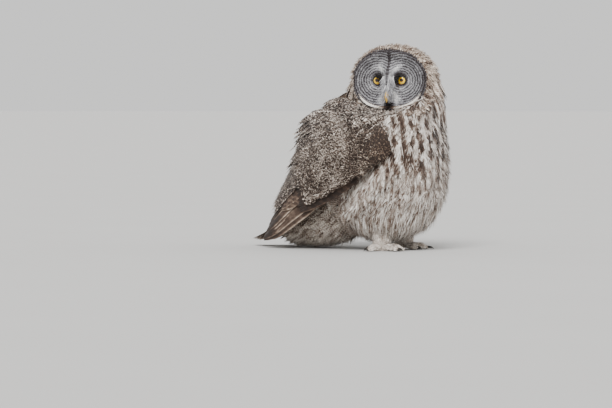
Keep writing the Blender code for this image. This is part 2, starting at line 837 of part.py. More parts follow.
def main():
    clear_scene()
    plumage = material("grey_brown_plumage", (0.32, 0.28, 0.25), 0.9)
    disc = material("facial_disc", (0.42, 0.41, 0.40), 0.9)
    horn = material("yellow_horn", (0.62, 0.42, 0.12), 0.45)
    black_horn = material("black_horn", (0.03, 0.028, 0.026), 0.35)
    eye = material("yellow_eye", (0.85, 0.60, 0.05), 0.1)
    down = material("leg_down", (0.50, 0.46, 0.42), 0.95)

    torso = make_torso(plumage)
    head = make_head_form(disc)
    neck = make_neck(head, plumage)
    body_cutters = [grown(torso), grown(neck)]

    details = make_ruff(disc)
    for side in (-1, 1):
        details.append(make_lids(side, disc))
        details += make_face_vanes(side, disc)
    combine(head, details, "UNION")
    upper, lower = make_bill(horn)
    combine(head, [grown(upper), grown(lower)], "DIFFERENCE")
    combine(head, [body_cutters[1]], "DIFFERENCE", remove=False)

    for side in (-1, 1):
        word = "left" if side > 0 else "right"
        ball = make_ball("eye_" + word, eye_centre(side), EYE_RADIUS, eye)
        combine(head, [grown(ball)], "DIFFERENCE")
        wing = make_wing(side, plumage)
        combine(wing, body_cutters, "DIFFERENCE", remove=False)
        leg = make_leg(side, down)
        combine(leg, body_cutters, "DIFFERENCE", remove=False)
        foot = make_ankle(side, down)
        toes = [make_toe(side, turn, length, down) for turn, length in TOES.values()]
        combine(foot, toes, "UNION")
        for toe_name, (turn, length) in TOES.items():
            make_claw(f"claw_{word}_{toe_name}", side, turn, length, black_horn)

    tail = make_tail(plumage)
    combine(tail, body_cutters, "DIFFERENCE", remove=False)

    for cutter in body_cutters:
        bpy.data.objects.remove(cutter)
    for thing in bpy.data.objects:
        thing.data.transform(Matrix.Translation((0, -BOX_CENTRE_Y, 0)))


main()
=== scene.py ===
# Great grey owl standing on a pale floor, with its head turned to its right.
# Everything is laid out in metres round the point between the feet, facing -Y,
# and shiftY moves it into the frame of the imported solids.

import math

import bpy
import numpy as np
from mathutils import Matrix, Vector


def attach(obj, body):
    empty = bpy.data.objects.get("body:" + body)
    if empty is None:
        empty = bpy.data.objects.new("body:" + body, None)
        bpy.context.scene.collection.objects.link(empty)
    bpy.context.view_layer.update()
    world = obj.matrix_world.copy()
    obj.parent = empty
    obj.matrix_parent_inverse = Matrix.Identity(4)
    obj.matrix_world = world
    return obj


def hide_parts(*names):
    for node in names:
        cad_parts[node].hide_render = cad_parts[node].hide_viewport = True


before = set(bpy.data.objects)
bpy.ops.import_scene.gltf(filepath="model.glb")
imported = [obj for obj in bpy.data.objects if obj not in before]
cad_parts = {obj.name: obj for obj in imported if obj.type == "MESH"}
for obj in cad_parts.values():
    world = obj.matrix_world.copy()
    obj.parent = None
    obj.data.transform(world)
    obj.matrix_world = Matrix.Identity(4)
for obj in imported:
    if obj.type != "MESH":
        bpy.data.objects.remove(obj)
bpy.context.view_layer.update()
bpy.ops.object.select_all(action="DESELECT")

shiftY = -0.1165  # from the feet to the middle of the solids' box
twoPi = 2 * math.pi
bodyAxisY = 0.02  # the upright line round which the body's markings turn
floorGap = 0.0006  # the least height of a feather
patchSize = 0.003  # of each feather on the unwrap of its surface

fleshNodes = ["torso", "neck", "head", "wing_left", "wing_right", "tail",
              "leg_left", "leg_right", "foot_left", "foot_right"]


# Small helpers

def sideWord(side):
    # sides are the bird's own: 1 is its left, -1 its right
    return "left" if side > 0 else "right"


def hexColour(code):
    # sRGB hex to linear
    parts = [int(code[i:i + 2], 16) / 255 for i in (1, 3, 5)]
    linear = [c / 12.92 if c <= 0.04045 else ((c + 0.055) / 1.055) ** 2.4 for c in parts]
    return (*linear, 1.0)


def addNode(tree, kind, settings=None, inputs=None):
    node = tree.nodes.new(kind)
    for key, value in (settings or {}).items():
        setattr(node, key, value)
    for key, value in (inputs or {}).items():
        if isinstance(value, bpy.types.NodeSocket):
            tree.links.new(value, node.inputs[key])
        else:
            node.inputs[key].default_value = value
    return node


def ease(share):
    share = np.clip(share, 0.0, 1.0)
    return share * share * (3 - 2 * share)


def bell(value, middle, width):
    return np.exp(-(((value - middle) / width) ** 2))


def signedPower(value, power):
    return np.sign(value) * np.abs(value) ** power


def unit(vectors):
    return vectors / np.maximum(np.linalg.norm(vectors, axis=-1, keepdims=True), 1e-9)


def through(knots, values, at):
    # smooth curve through values at knots, straight on past its ends
    knots = np.asarray(knots, float)
    values = np.asarray(values, float)
    slopes = np.gradient(values, knots, axis=0)
    at = np.asarray(at, float)
    i = np.clip(np.searchsorted(knots, at, side="right") - 1, 0, len(knots) - 2)
    span = knots[i + 1] - knots[i]
    t = (at - knots[i]) / span
    inside = np.clip(t, 0, 1)
    beyond = ((t - inside) * span)[..., None]
    t, span = inside[..., None], span[..., None]
    curve = ((2 * t**3 - 3 * t**2 + 1) * values[i] + (t**3 - 2 * t**2 + t) * span * slopes[i]
             + (3 * t**2 - 2 * t**3) * values[i + 1] + (t**3 - t**2) * span * slopes[i + 1])
    return curve + beyond * np.where(beyond > 0, slopes[i + 1], slopes[i])


# Shapes of the plumage's outside, each as a chart from two numbers to a place

bodyShape = {
    "slices": (  # height, front, back, half width
        (0.036, -0.022, 0.034, 0.026),
        (0.045, -0.056, 0.070, 0.052),
        (0.060, -0.084, 0.108, 0.075),
        (0.080, -0.107, 0.138, 0.092),
        (0.105, -0.122, 0.159, 0.104),
        (0.135, -0.130, 0.171, 0.111),
        (0.170, -0.133, 0.176, 0.115),
        (0.210, -0.132, 0.174, 0.115),
        (0.250, -0.129, 0.166, 0.111),
        (0.285, -0.121, 0.148, 0.102),
    ),
    "fullness": 2.2,
    "neckHeight": 0.285,
    "neckTop": 0.362,
    "neckTopFront": -0.090,
    "neckTopBack": 0.052,
    "neckTopFaceSide": 0.015,
    "neckTopFarSide": 0.066,
}


def bodyChart(turn, height):
    # turn 0 is the breast, a quarter is the bird's left
    angle = twoPi * turn
    low = np.minimum(height, bodyShape["neckHeight"])
    rows = np.array(bodyShape["slices"])
    front, back, half = np.moveaxis(through(rows[:, 0], rows[:, 1:], low), -1, 0)
    power = 2 / bodyShape["fullness"]
    sine, cosine = np.sin(angle), np.cos(angle)
    x = half * signedPower(sine, power)
    y = (front + back) / 2 - (back - front) / 2 * signedPower(cosine, power)
    span = bodyShape["neckTop"] - bodyShape["neckHeight"]
    share = np.clip((height - bodyShape["neckHeight"]) / span, 0, 1)
    reach = np.where(sine > 0, bodyShape["neckTopFarSide"], bodyShape["neckTopFaceSide"])
    topX = reach * sine
    topMiddle = (bodyShape["neckTopFront"] + bodyShape["neckTopBack"]) / 2
    topHalf = (bodyShape["neckTopBack"] - bodyShape["neckTopFront"]) / 2
    topY = topMiddle - topHalf * cosine
    faceward = np.maximum(0, -sine) ** 1.5
    fall = (1 - share ** (3.2 - 1.9 * faceward)) ** (1.0 + 2.0 * faceward)
    return np.stack([topX + (x - topX) * fall, topY + (y - topY) * fall, height + 0 * x], -1)


def aroundBody(x, y):
    # 0 at the breast, positive towards the bird's left
    return np.arctan2(x, -(y - bodyAxisY))


def bodyReachTable():
    # how far the body reaches from its axis, by height and by direction
    heights = np.linspace(0.036, 0.3615, 90)
    turn = np.linspace(0, 1, 360, endpoint=False)
    directions = np.linspace(-math.pi, math.pi, 181)
    table = []
    for height in heights:
        ring = bodyChart(turn, np.full(360, height))
        polar = aroundBody(ring[:, 0], ring[:, 1])
        table.append(np.interp(directions, polar, np.hypot(ring[:, 0], ring[:, 1] - bodyAxisY),
                               period=twoPi))
    return heights, directions, np.array(table)


bodyReach = bodyReachTable()


def clearOfBody(points, margin):
    # moves points outwards until they stand at least the margin off the body
    heights, directions, table = bodyReach
    x, y, z = np.moveaxis(points, -1, 0)
    y = y - bodyAxisY
    polar, away = np.arctan2(x, -y), np.maximum(np.hypot(x, y), 1e-6)
    i = np.clip((z - heights[0]) / (heights[1] - heights[0]), 0, len(heights) - 1.001)
    j = np.clip((polar + math.pi) / (directions[1] - directions[0]), 0, len(directions) - 1.001)
    i0, j0 = i.astype(int), j.astype(int)
    ti, tj = i - i0, j - j0
    surface = ((table[i0, j0] * (1 - tj) + table[i0, j0 + 1] * tj) * (1 - ti)
               + (table[i0 + 1, j0] * (1 - tj) + table[i0 + 1, j0 + 1] * tj) * ti)
    grow = np.where(z < heights[-1], np.maximum(1, (surface + margin) / away), 1)
    return np.stack([x * grow, y * grow + bodyAxisY, z], -1)


headShape = {
    "centre": np.array([-0.002, -0.017, 0.373]),
    "turn": math.radians(-74),  # from facing -Y, seen from above, to its right
    "halfWidth": 0.097,
    "rise": 0.077,
    "front": 0.058,
    "back": 0.086,
    "shoulder": 0.55,
    "discHalfWidth": 0.0775,
    "discHalfHeight": 0.0620,
    "rimAngle": math.radians(53),
    "eyeOffset": 0.027,
    "eyeRadius": 0.0135,
    "eyeDepth": 0.0300,
}
faceAhead = np.array([math.sin(headShape["turn"]), -math.cos(headShape["turn"]), 0])
faceLeft = np.array([math.cos(headShape["turn"]), math.sin(headShape["turn"]), 0])
straightUp = np.array([0.0, 0.0, 1.0])


def fromHead(left, up, ahead):
    left, up, ahead = np.broadcast_arrays(left, up, ahead)
    return (headShape["centre"] + faceLeft * left[..., None] + straightUp * up[..., None]
            + faceAhead * ahead[..., None])


def toHead(points):
    away = points - headShape["centre"]
    return away @ faceLeft, away[..., 2], away @ faceAhead


def discOutline(angle):
    # rim of the facial disc, angle 0 upwards
    scale = 1 - 0.07 * np.exp(-((np.sin(angle / 2) / 0.16) ** 2))
    scale = scale - 0.05 * np.exp(-((np.cos(angle / 2) / 0.18) ** 2))
    return (headShape["discHalfWidth"] * signedPower(np.sin(angle), 2 / 2.15) * scale,
            headShape["discHalfHeight"] * signedPower(np.cos(angle), 2 / 2.15) * scale)


def faceDepth(left, up):
    across, tall = left / headShape["discHalfWidth"], up / headShape["discHalfHeight"]
    share = np.minimum(1.0, np.hypot(across, tall))
    depth = 0.0475 - 0.0070 * across**2 - 0.0035 * tall**2 - 0.0060 * bell(share, 0.68, 0.22)
    ridge = np.exp(-((left / 0.0095) ** 2)) * ease((0.045 - up) / 0.05)
    depth = depth + 0.0150 * ridge * ease((up + 0.052) / 0.03)
    for side in (-1, 1):
        away = np.hypot(left - side * headShape["eyeOffset"], up)
        depth = depth - 0.0085 * np.exp(-((away / 0.0135) ** 2))
    return depth


def discChart(left, up):
    return fromHead(left, up, faceDepth(left, up))


def headChart(turn, fromFace):
    # turn 0 is up, and fromFace is the angle away from the face's axis
    angle = twoPi * turn
    ahead = np.cos(fromFace)
    depth = ahead * np.where(ahead > 0, headShape["front"], headShape["back"])
    wide = np.abs(np.sin(fromFace)) ** np.where(ahead > 0, headShape["shoulder"], 1.0)
    return fromHead(headShape["halfWidth"] * wide * np.sin(angle),
                    headShape["rise"] * wide * np.cos(angle), depth)


wingShape = {
    "shares": (0.0, 0.2, 0.4, 0.6, 0.8, 1.0),
    "lower": ((-0.106, -0.082, 0.206), (-0.129, -0.006, 0.150), (-0.134, 0.080, 0.102),
              (-0.126, 0.158, 0.066), (-0.112, 0.220, 0.038), (-0.098, 0.272, 0.018)),
    "middle": ((-0.119, -0.074, 0.244), (-0.138, 0.034, 0.222), (-0.134, 0.128, 0.178),
               (-0.114, 0.194, 0.128), (-0.098, 0.240, 0.080), (-0.094, 0.280, 0.030)),
    "upper": ((-0.097, -0.032, 0.288), (-0.088, 0.118, 0.294), (-0.074, 0.174, 0.244),
              (-0.052, 0.206, 0.184), (-0.046, 0.244, 0.124), (-0.088, 0.284, 0.044)),
}


def wingChart(side):
    # share runs from wrist to tip, across from the lower edge to the upper one
    def chart(share, across):
        low = through(wingShape["shares"], wingShape["lower"], share)
        middle = through(wingShape["shares"], wingShape["middle"], share)
        high = through(wingShape["shares"], wingShape["upper"], share)
        a = np.asarray(across)[..., None]
        point = 2 * (a - 0.5) * (a - 1) * low + 4 * a * (1 - a) * middle + 2 * a * (a - 0.5) * high
        return point * np.array([-side, 1, 1])
    return chart


def chartFrame(chart, u, v, flip=1):
    # place, both directions and the outward normal
    step = 1e-4
    here = chart(u, v)
    alongU = (chart(u + step, v) - chart(u - step, v)) / (2 * step)
    alongV = (chart(u, v + step) - chart(u, v - step)) / (2 * step)
    return here, alongU, alongV, unit(np.cross(alongU, alongV)) * flip


def trace(chart, u, v, lie, length, steps, flip):
    # paths over a chart from (u, v), following the lie of the coat
    places, outs = [], []
    u, v = np.array(u, float), np.array(v, float)
    stride = np.asarray(length) / (steps - 1)
    for _ in range(steps):
        here, alongU, alongV, out = chartFrame(chart, u, v, flip)
        places.append(here)
        outs.append(out)
        way = lie(here, out, u, v)
        way = unit(way - out * (way * out).sum(-1, keepdims=True))
        uu, vv = (alongU**2).sum(-1), (alongV**2).sum(-1)
        uv = (alongU * alongV).sum(-1)
        onU, onV = (alongU * way).sum(-1), (alongV * way).sum(-1)
        det = np.maximum(uu * vv - uv**2, 1e-12)
        u = u + np.clip((onU * vv - onV * uv) / det * stride, -0.2, 0.2)
        v = v + np.clip((onV * uu - onU * uv) / det * stride, -0.2, 0.2)
    return np.stack(places, 1), np.stack(outs, 1)


# Coat: many feathers gathered in arrays and made one mesh

class Coat:
    def __init__(self, name):
        self.name = name
        self.batches = []

    def add(self, paths, outs, halfWidths, profile, bake, pigment, seed, camber=0.12, across=3,
            tilt=0.0):
        # paths and outs are (feather, row, 3), profile gives the width at each row
        count, rows = paths.shape[:2]
        ahead = np.gradient(paths, axis=1)
        side = unit(np.cross(outs, ahead))
        out = unit(np.cross(ahead, side))
        side = unit(side - out * np.asarray(tilt).reshape(-1, 1, 1))
        out = unit(np.cross(ahead, side))
        profile = np.asarray(profile, float)
        wide = np.asarray(halfWidths)[:, None] * np.broadcast_to(profile, (count, rows))
        spots = np.linspace(-1, 1, across)
        points = (paths[:, :, None] + side[:, :, None] * (wide[..., None] * spots)[..., None]
                  + out[:, :, None] * (wide[..., None] * camber * 2 * (1 - spots**2))[..., None])
        points[..., 2] = np.maximum(points[..., 2], floorGap)
        lengths = np.linalg.norm(np.diff(paths, axis=1), axis=-1).cumsum(1)
        lengths = np.concatenate([np.zeros((count, 1)), lengths], 1)
        # where each point lies on its vane, in mm, with a number that tells feathers apart
        place = np.stack(np.broadcast_arrays(
            wide[..., None] * spots * 1000, lengths[..., None] * 1000,
            np.asarray(seed).reshape(-1, 1, 1)), -1)
        leaf = np.stack(np.broadcast_arrays((spots + 1) / 2, np.linspace(0, 1, rows)[:, None]), -1)
        leaf = np.broadcast_to(leaf, (count, rows, across, 2))
        colour = pigment(points, leaf[..., 0] * 2 - 1, leaf[..., 1])
        colour = np.stack(np.broadcast_arrays(*colour, points[..., 0])[:3], -1)
        self.batches.append((points, place, leaf, colour, np.asarray(bake)))

    def make(self, material, slot):
        pointSets, placeSets, leafSets, colourSets, bakeSets = [], [], [], [], []
        faceSets, triangleSets = [], []
        base = 0
        for points, place, leaf, colour, bake in self.batches:
            count, rows, ring = points.shape[:3]
            index = base + np.arange(count * rows * ring).reshape(count, rows, ring)
            nextOne = np.roll(index, -1, axis=2)
            quads = np.stack([index[:, :-1], nextOne[:, :-1], nextOne[:, 1:], index[:, 1:]], -1)
            faceSets.append(quads.reshape(-1, 4))
            for row, order in ((0, 1), (-1, -1)):
                for k in range(1, ring - 1):
                    triangleSets.append(index[:, row][:, [0, k + 1, k][::order]])
            pointSets.append(points.reshape(-1, 3))
            placeSets.append(place.reshape(-1, 3))
            leafSets.append(leaf.reshape(-1, 2))
            colourSets.append(colour.reshape(-1, 3))
            patch = bake[:, None, None] + patchSize * (leaf - 0.5)
            bakeSets.append(np.clip(patch, 0.0005, 0.9995).reshape(-1, 2))
            base += count * rows * ring
        points = np.concatenate(pointSets)
        points[:, 1] += shiftY
        quads = np.concatenate(faceSets)
        triangles = np.concatenate(triangleSets)
        corners = np.concatenate([quads.ravel(), triangles.ravel()]).astype(np.int32)
        starts = np.concatenate([np.arange(len(quads)) * 4,
                                 len(quads) * 4 + np.arange(len(triangles)) * 3]).astype(np.int32)
        mesh = bpy.data.meshes.new(self.name)
        mesh.vertices.add(len(points))
        mesh.vertices.foreach_set("co", points.astype(np.float32).ravel())
        mesh.loops.add(len(corners))
        mesh.loops.foreach_set("vertex_index", corners)
        mesh.polygons.add(len(starts))
        mesh.polygons.foreach_set("loop_start", starts)
        mesh.update(calc_edges=True)
        for title, sets in (("OFBake", bakeSets), ("vane", leafSets)):
            layer = mesh.uv_layers.new(name=title)
            layer.data.foreach_set("uv", np.concatenate(sets)[corners].astype(np.float32).ravel())
        mesh.uv_layers.active = mesh.uv_layers["OFBake"]
        keepMarks(mesh, "vanePlace", np.concatenate(placeSets))
        keepMarks(mesh, "pigment", np.concatenate(colourSets))
        mesh.shade_smooth()
        mesh.set_sharp_from_angle(angle=math.radians(70))
        piece = bpy.data.objects.new(self.name, mesh)
        bpy.context.scene.collection.objects.link(piece)
        mesh.materials.append(material)
        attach(piece, "root")
        count = 2 * len(quads) + len(triangles)
        print(f"{self.name}: {count} triangles")


# Scattering and soft random fields

def evenSpots(count, seed):
    # evenly spread numbers in three directions, different for each seed
    base = 1.2207440846
    steps = np.array([1 / base, 1 / base**2, 1 / base**3])
    return (np.arange(1, count + 1)[:, None] * steps + seed * 0.137) % 1.0


def scatter(chart, count, uRange, vRange, seed):
    # spreads roots evenly over the real area of a chart
    spots = evenSpots(count * 4, seed)
    u = uRange[0] + (uRange[1] - uRange[0]) * spots[:, 0]
    v = vRange[0] + (vRange[1] - vRange[0]) * spots[:, 1]
    _, alongU, alongV, _ = chartFrame(chart, u, v)
    area = np.linalg.norm(np.cross(alongU, alongV), axis=-1)
    level = np.quantile(area, 0.98)
    chosen = np.flatnonzero(spots[:, 2] * level < area)
    chosen = chosen[:: max(1, len(chosen) // count)] if len(chosen) > count * 2 else chosen[:count]
    return u[chosen], v[chosen]


def latticeNoise(x, y, seed):
    # smooth random field of about 0 to 1, one lump to each unit
    x, y = np.broadcast_arrays(np.asarray(x, float), np.asarray(y, float))
    x0, y0 = np.floor(x), np.floor(y)
    tx, ty = ease(x - x0), ease(y - y0)

    def corner(i, j):
        value = np.sin(i * 127.1 + j * 311.7 + seed * 74.7) * 43758.5453
        return value - np.floor(value)

    low = corner(x0, y0) * (1 - tx) + corner(x0 + 1, y0) * tx
    high = corner(x0, y0 + 1) * (1 - tx) + corner(x0 + 1, y0 + 1) * tx
    return low * (1 - ty) + high * ty


# Markings: darkness, strength of the fine bars and warmth, anywhere on the bird.
# On the face the third number is the distance from the eye instead of the warmth.

def dashes(x, y, width, height, seed, ragged):
    # separate long marks, one to each cell of a staggered and shaken grid
    column = np.floor(x / width)
    best = np.zeros(np.broadcast(x, y).shape)
    for di in (-1, 0, 1):
        i = column + di
        shift = 0.5 * (i % 2) + 0.6 * latticeNoise(i * 7.3, 0.5, seed)
        row = np.floor(y / height + shift)
        for dj in (-1, 0, 1):
            j = row + dj
            jitter = latticeNoise(i * 3.1 + 0.5, j * 5.7 + 0.5, seed + 1) - 0.5
            grow = 0.6 + 0.8 * latticeNoise(i * 4.7 + 0.5, j * 2.9 + 0.5, seed + 2)
            across = (x / width - i - 0.5 - 0.55 * jitter) / 0.26
            along = (y / height + shift - j - 0.5 - 0.4 * jitter) / 0.46
            across = across / (1 - 0.35 * np.clip(along, -1, 1))
            away = across**2 + np.abs(along) ** 2.4
            best = np.maximum(best, ease((1.6 * grow - away) / 0.6) * np.clip(grow + 0.1, 0, 1))
    rough = latticeNoise(x / width * 5, y / height * 9, seed + 3)
    return np.clip(best * (1 + ragged) - ragged * 1.6 * rough, 0, 1)


bodyStreaks = {  # width and spacing in metres, seed, raggedness
    "bold": (0.0165, 0.034, 1, 0.35),
    "fine": (0.0100, 0.019, 5, 0.6),
    "throat": (0.0105, 0.020, 9, 0.35),
    "girth": 0.115,  # metres to each radian round the body
}


def bodyMarks(points):
    x, y, z = np.moveaxis(points, -1, 0)
    turn = aroundBody(x, y)
    around = turn * bodyStreaks["girth"]
    around = around + 0.007 * (latticeNoise(around / 0.03, z / 0.03, 3) - 0.5)
    low = ease((0.215 - z) / 0.09)
    bold, fine, close = (dashes(around, z, *bodyStreaks[name]) for name in ("bold", "fine", "throat"))
    throat = ease((z - 0.285) / 0.03)
    streak = bold * (1 - low) * (1 - throat) + 0.62 * fine * low + 0.9 * close * throat
    haze = latticeNoise(around / 0.016, z / 0.014, 8)
    front = 0.02 + 0.18 * haze + 0.08 * throat + 0.88 * streak
    backness = ease((np.abs(turn) - 1.75) / 0.5)
    mantle = 0.52 + 0.35 * (latticeNoise(around / 0.014, z / 0.016, 7) - 0.5)
    # the side of the neck under the back of the head is coloured as the back is
    _, _, ahead = toHead(points)
    twisted = ease((0.012 - ahead) / 0.03) * ease((z - 0.262) / 0.03) * ease((y + 0.075) / 0.05)
    backness = np.maximum(backness, twisted)
    vent = ease((y - 0.06) / 0.05) * ease((0.13 - z) / 0.05)
    spots = ease((blotches(points, 0.0075, 33) - 0.47) / 0.12)
    dark = front * (1 - backness) + mantle * backness
    dark = dark * (1 - vent) + (0.08 + 0.14 * haze + 0.48 * spots) * vent
    bars = 0.16 + 0.5 * backness + 0.30 * vent
    warm = 0.35 * streak + 0.2 * backness
    return np.clip(dark, 0, 1), bars, warm


def discShare(left, up):
    across = np.abs(left) / headShape["discHalfWidth"]
    tall = np.abs(up) / headShape["discHalfHeight"]
    return (across**2.15 + tall**2.15) ** (1 / 2.15)


def blotches(points, size, seed):
    # spots of one size all over, whichever way the surface faces
    x, y, z = np.moveaxis(points / size, -1, 0)
    return (latticeNoise(x + 0.37 * z, y - 0.21 * z, seed)
            + latticeNoise(y + 0.41 * x, z - 0.3 * x, seed + 1)
            + latticeNoise(z - 0.33 * y, x + 0.27 * y, seed + 2)) / 3


def crownMarks(points):
    left, up, ahead = toHead(points)
    share = discShare(left, up)
    spots = ease((blotches(points, 0.0052, 11) - 0.36) / 0.28)
    clouds = blotches(points, 0.022, 14)
    dark = 0.18 + 0.58 * spots + 0.5 * (clouds - 0.5)
    nearRim = ease((1.075 - share) / 0.05) * ease((ahead - 0.010) / 0.02)
    low = ease((-0.020 - up) / 0.02)
    dark = dark * (1 - nearRim) + (0.12 + 0.20 * spots - 0.28 * low) * nearRim
    bars = 0.50 * (1 - 0.7 * nearRim * low)
    return np.clip(dark, 0, 1), bars, 0.40 * (1 - low * nearRim)


def faceMarks(points):
    left, up, _ = toHead(points)
    out = np.abs(left)
    share = discShare(left, up)
    eyeAway = np.hypot(out - headShape["eyeOffset"], up)
    ringAt = np.hypot(out - headShape["eyeOffset"] * 0.96, up * 1.04)
    clouds = latticeNoise(left / 0.009 + 5, up / 0.009, 29) - 0.5
    dark = 0.49 + 0.08 * ease((share - 0.5) / 0.4) + 0.18 * clouds
    height = up + 0.006
    middle = 0.0060 + 0.0190 * (height / 0.040) ** 2
    pale = 0.95 * bell(out, middle, 0.0060) * ease((0.046 - np.abs(height)) / 0.014)
    whiskers = bell(out, 0.010 - (up + 0.030) * 0.35, 0.0065) * ease((-0.012 - up) / 0.010)
    pale = np.maximum(pale, 0.8 * whiskers * ease((up + 0.056) / 0.008))
    dark = dark * (1 - pale) + 0.03 * pale
    comma = bell(np.hypot((out - 0.0225) / 1.25, up - 0.0090), 0.0, 0.0100) * ease((0.026 - up) / 0.008)
    lore = bell(np.hypot(out - 0.0155, (up + 0.001) / 1.5), 0.0, 0.0048)
    ring = bell(eyeAway, 0.0092, 0.0024)
    seam = bell(left, 0.0, 0.0032) * ease((up + 0.026) / 0.010)
    rim = ease((share - 0.978) / 0.018)
    black = np.maximum.reduce([0.95 * comma, 0.80 * lore, 0.9 * ring, 0.78 * seam, 0.52 * rim])
    beard = bell(left, 0, 0.0080) * ease((-0.045 - up) / 0.005)
    black = np.maximum(black, beard)
    dark = dark * (1 - black) + 0.97 * black
    lines = np.clip(1 - pale - black, 0, 1) * ease((eyeAway - 0.012) / 0.006)
    # the distance from the eye is told in tenths of a metre
    return np.clip(dark, 0, 1), lines * 0.9, ringAt * 10


# Skin: one closed surface under all of the feathers

skinSettings = {"voxel": 0.0034, "bodyDepth": 0.009, "headDepth": 0.006, "wingDepth": 0.004,
                "wingBody": 0.020, "rumpDepth": 0.006, "ventDepth": 0.008, "legDepth": 0.0022,
                "toeDepth": 0.0012, "faceDepth": 0.0030,
                "sides": {"body": 64, "head": 72, "wing": 40, "cone": 36, "leg": 28},
                "wingColour": (0.82, 0.7, 0.1)}  # darkness, bars, warmth


def pieceFrom(name, points, faces):
    mesh = bpy.data.meshes.new(name)
    mesh.from_pydata([tuple(p) for p in points], [], faces)
    piece = bpy.data.objects.new(name, mesh)
    bpy.context.scene.collection.objects.link(piece)
    return piece


def pointsOf(mesh):
    points = np.empty(len(mesh.vertices) * 3)
    mesh.vertices.foreach_get("co", points)
    return points.reshape(-1, 3)


def keepMarks(mesh, title, marks):
    layer = mesh.attributes.new(title, "FLOAT_VECTOR", "POINT")
    layer.data.foreach_set("vector", np.asarray(marks).astype(np.float32).ravel())


def gridMesh(name, rings):
    # a closed tube of rings with a fan at each end
    rings = np.asarray(rings)
    count, sides = rings.shape[:2]
    points = np.concatenate([rings.reshape(-1, 3), rings[0].mean(0)[None], rings[-1].mean(0)[None]])
    faces = []
    for i in range(count - 1):
        for j in range(sides):
            k = (j + 1) % sides
            faces.append((i * sides + j, i * sides + k, (i + 1) * sides + k, (i + 1) * sides + j))
    first, last = count * sides, count * sides + 1
    for j in range(sides):
        k = (j + 1) % sides
        faces.append((first, k, j))
        faces.append((last, (count - 1) * sides + j, (count - 1) * sides + k))
    return pieceFrom(name, points, faces)


def activate(piece):
    bpy.ops.object.select_all(action="DESELECT")
    piece.select_set(True)
    bpy.context.view_layer.objects.active = piece


def closeNormals(piece):
    activate(piece)
    bpy.ops.object.mode_set(mode="EDIT")
    bpy.ops.mesh.select_all(action="SELECT")
    bpy.ops.mesh.normals_make_consistent(inside=False)
    bpy.ops.object.mode_set(mode="OBJECT")


def dress(piece, material, slot, *nodes):
    # gives a closed piece its material and hides the nodes that it stands for; its slot is not used
    closeNormals(piece)
    piece.data.materials.append(material)
    piece.data.shade_smooth()
    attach(piece, "root")
    if nodes:
        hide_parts(*nodes)


def turns(part):
    return np.linspace(0, 1, skinSettings["sides"][part], endpoint=False)


def sunk(chart, u, v, depth, flip=1):
    # a ring of a chart, a little below its surface
    here, _, _, out = chartFrame(chart, u, np.full_like(u, v), flip)
    return here - out * depth


def bodyForm():
    heights = np.concatenate([np.linspace(0.040, 0.10, 9), np.linspace(0.115, 0.352, 22)])
    return [sunk(bodyChart, turns("body"), h, skinSettings["bodyDepth"]) for h in heights]


def headForm():
    turn = turns("head")
    rings = []
    for share in (0.06, 0.2, 0.34, 0.48, 0.62, 0.76, 0.88, 0.97):
        left, up = discOutline(twoPi * turn)
        rings.append(discChart(left * share, up * share) - faceAhead * skinSettings["faceDepth"])
    for fromFace in np.radians((62, 72, 84, 98, 112, 126, 140, 154, 167)):
        rings.append(sunk(headChart, turn, fromFace, skinSettings["headDepth"]))
    return rings


def wingForm(side):
    chart = wingChart(side)
    rings = []
    around = turns("wing")
    for share in np.linspace(0.03, 0.60, 12):
        across = 0.5 - (0.43 - 0.10 * ease((share - 0.3) / 0.3)) * np.cos(twoPi * around)
        outer = np.sin(twoPi * around) > 0
        # the wrist is sunk into the flank
        depth = skinSettings["wingDepth"] + 0.004 * ease((share - 0.35) / 0.25)
        depth = depth + 0.012 * ease((0.16 - share) / 0.13)
        thick = skinSettings["wingBody"] * (1 - ease((share - 0.15) / 0.45)) + 0.004
        rise = np.abs(np.sin(twoPi * around)) ** 0.6
        down = np.where(outer, depth + (1 - rise) * thick * 0.4, depth + thick * (0.4 + 0.6 * rise))
        point, _, _, out = chartFrame(chart, np.full_like(around, share), across, side)
        rings.append(point - out * down[:, None])
    return rings


# tail: place along the back, height; rump and vent: the same, half width, half thickness
tailLine = ((0.130, 0.144), (0.200, 0.102), (0.250, 0.072), (0.300, 0.044), (0.330, 0.029),
            (0.366, 0.0165))
rumpLine = ((0.120, 0.124, 0.074, 0.040), (0.165, 0.104, 0.062, 0.026), (0.205, 0.086, 0.046, 0.016),
            (0.240, 0.068, 0.026, 0.008))
ventLine = ((0.080, 0.088, 0.070, 0.052), (0.130, 0.074, 0.066, 0.050), (0.180, 0.055, 0.054, 0.038),
            (0.225, 0.038, 0.034, 0.022), (0.255, 0.028, 0.012, 0.008))


def coneChart(line):
    rows = np.array(line)

    def chart(turn, y):
        height, half, thick = np.moveaxis(through(rows[:, 0], rows[:, 1:], y), -1, 0)
        half, thick = np.maximum(half, 0.004), np.maximum(thick, 0.003)
        angle = twoPi * turn
        return np.stack([half * np.sin(angle), y + 0 * angle, height + thick * np.cos(angle)], -1)
    return chart


def coneForm(line, depth):
    return [sunk(coneChart(line), turns("cone"), y, depth)
            for y in np.linspace(line[0][0], line[-1][0], 10)]


footSettings = {"spread": 0.046, "y": -0.012, "ankle": 0.026, "legTop": 0.100, "topRadius": 0.034,
                "ankleRadius": 0.017, "toeWidth": 0.019, "toeHeight": 0.017,
                "toes": {"inner": (-20, 0.046), "middle": (14, 0.052), "outer": (98, 0.043),
                         "hind": (190, 0.034)},
                "clawLength": 0.026, "clawRadius": 0.0038, "clawHeight": 0.0048,
                "clawArc": math.radians(80)}


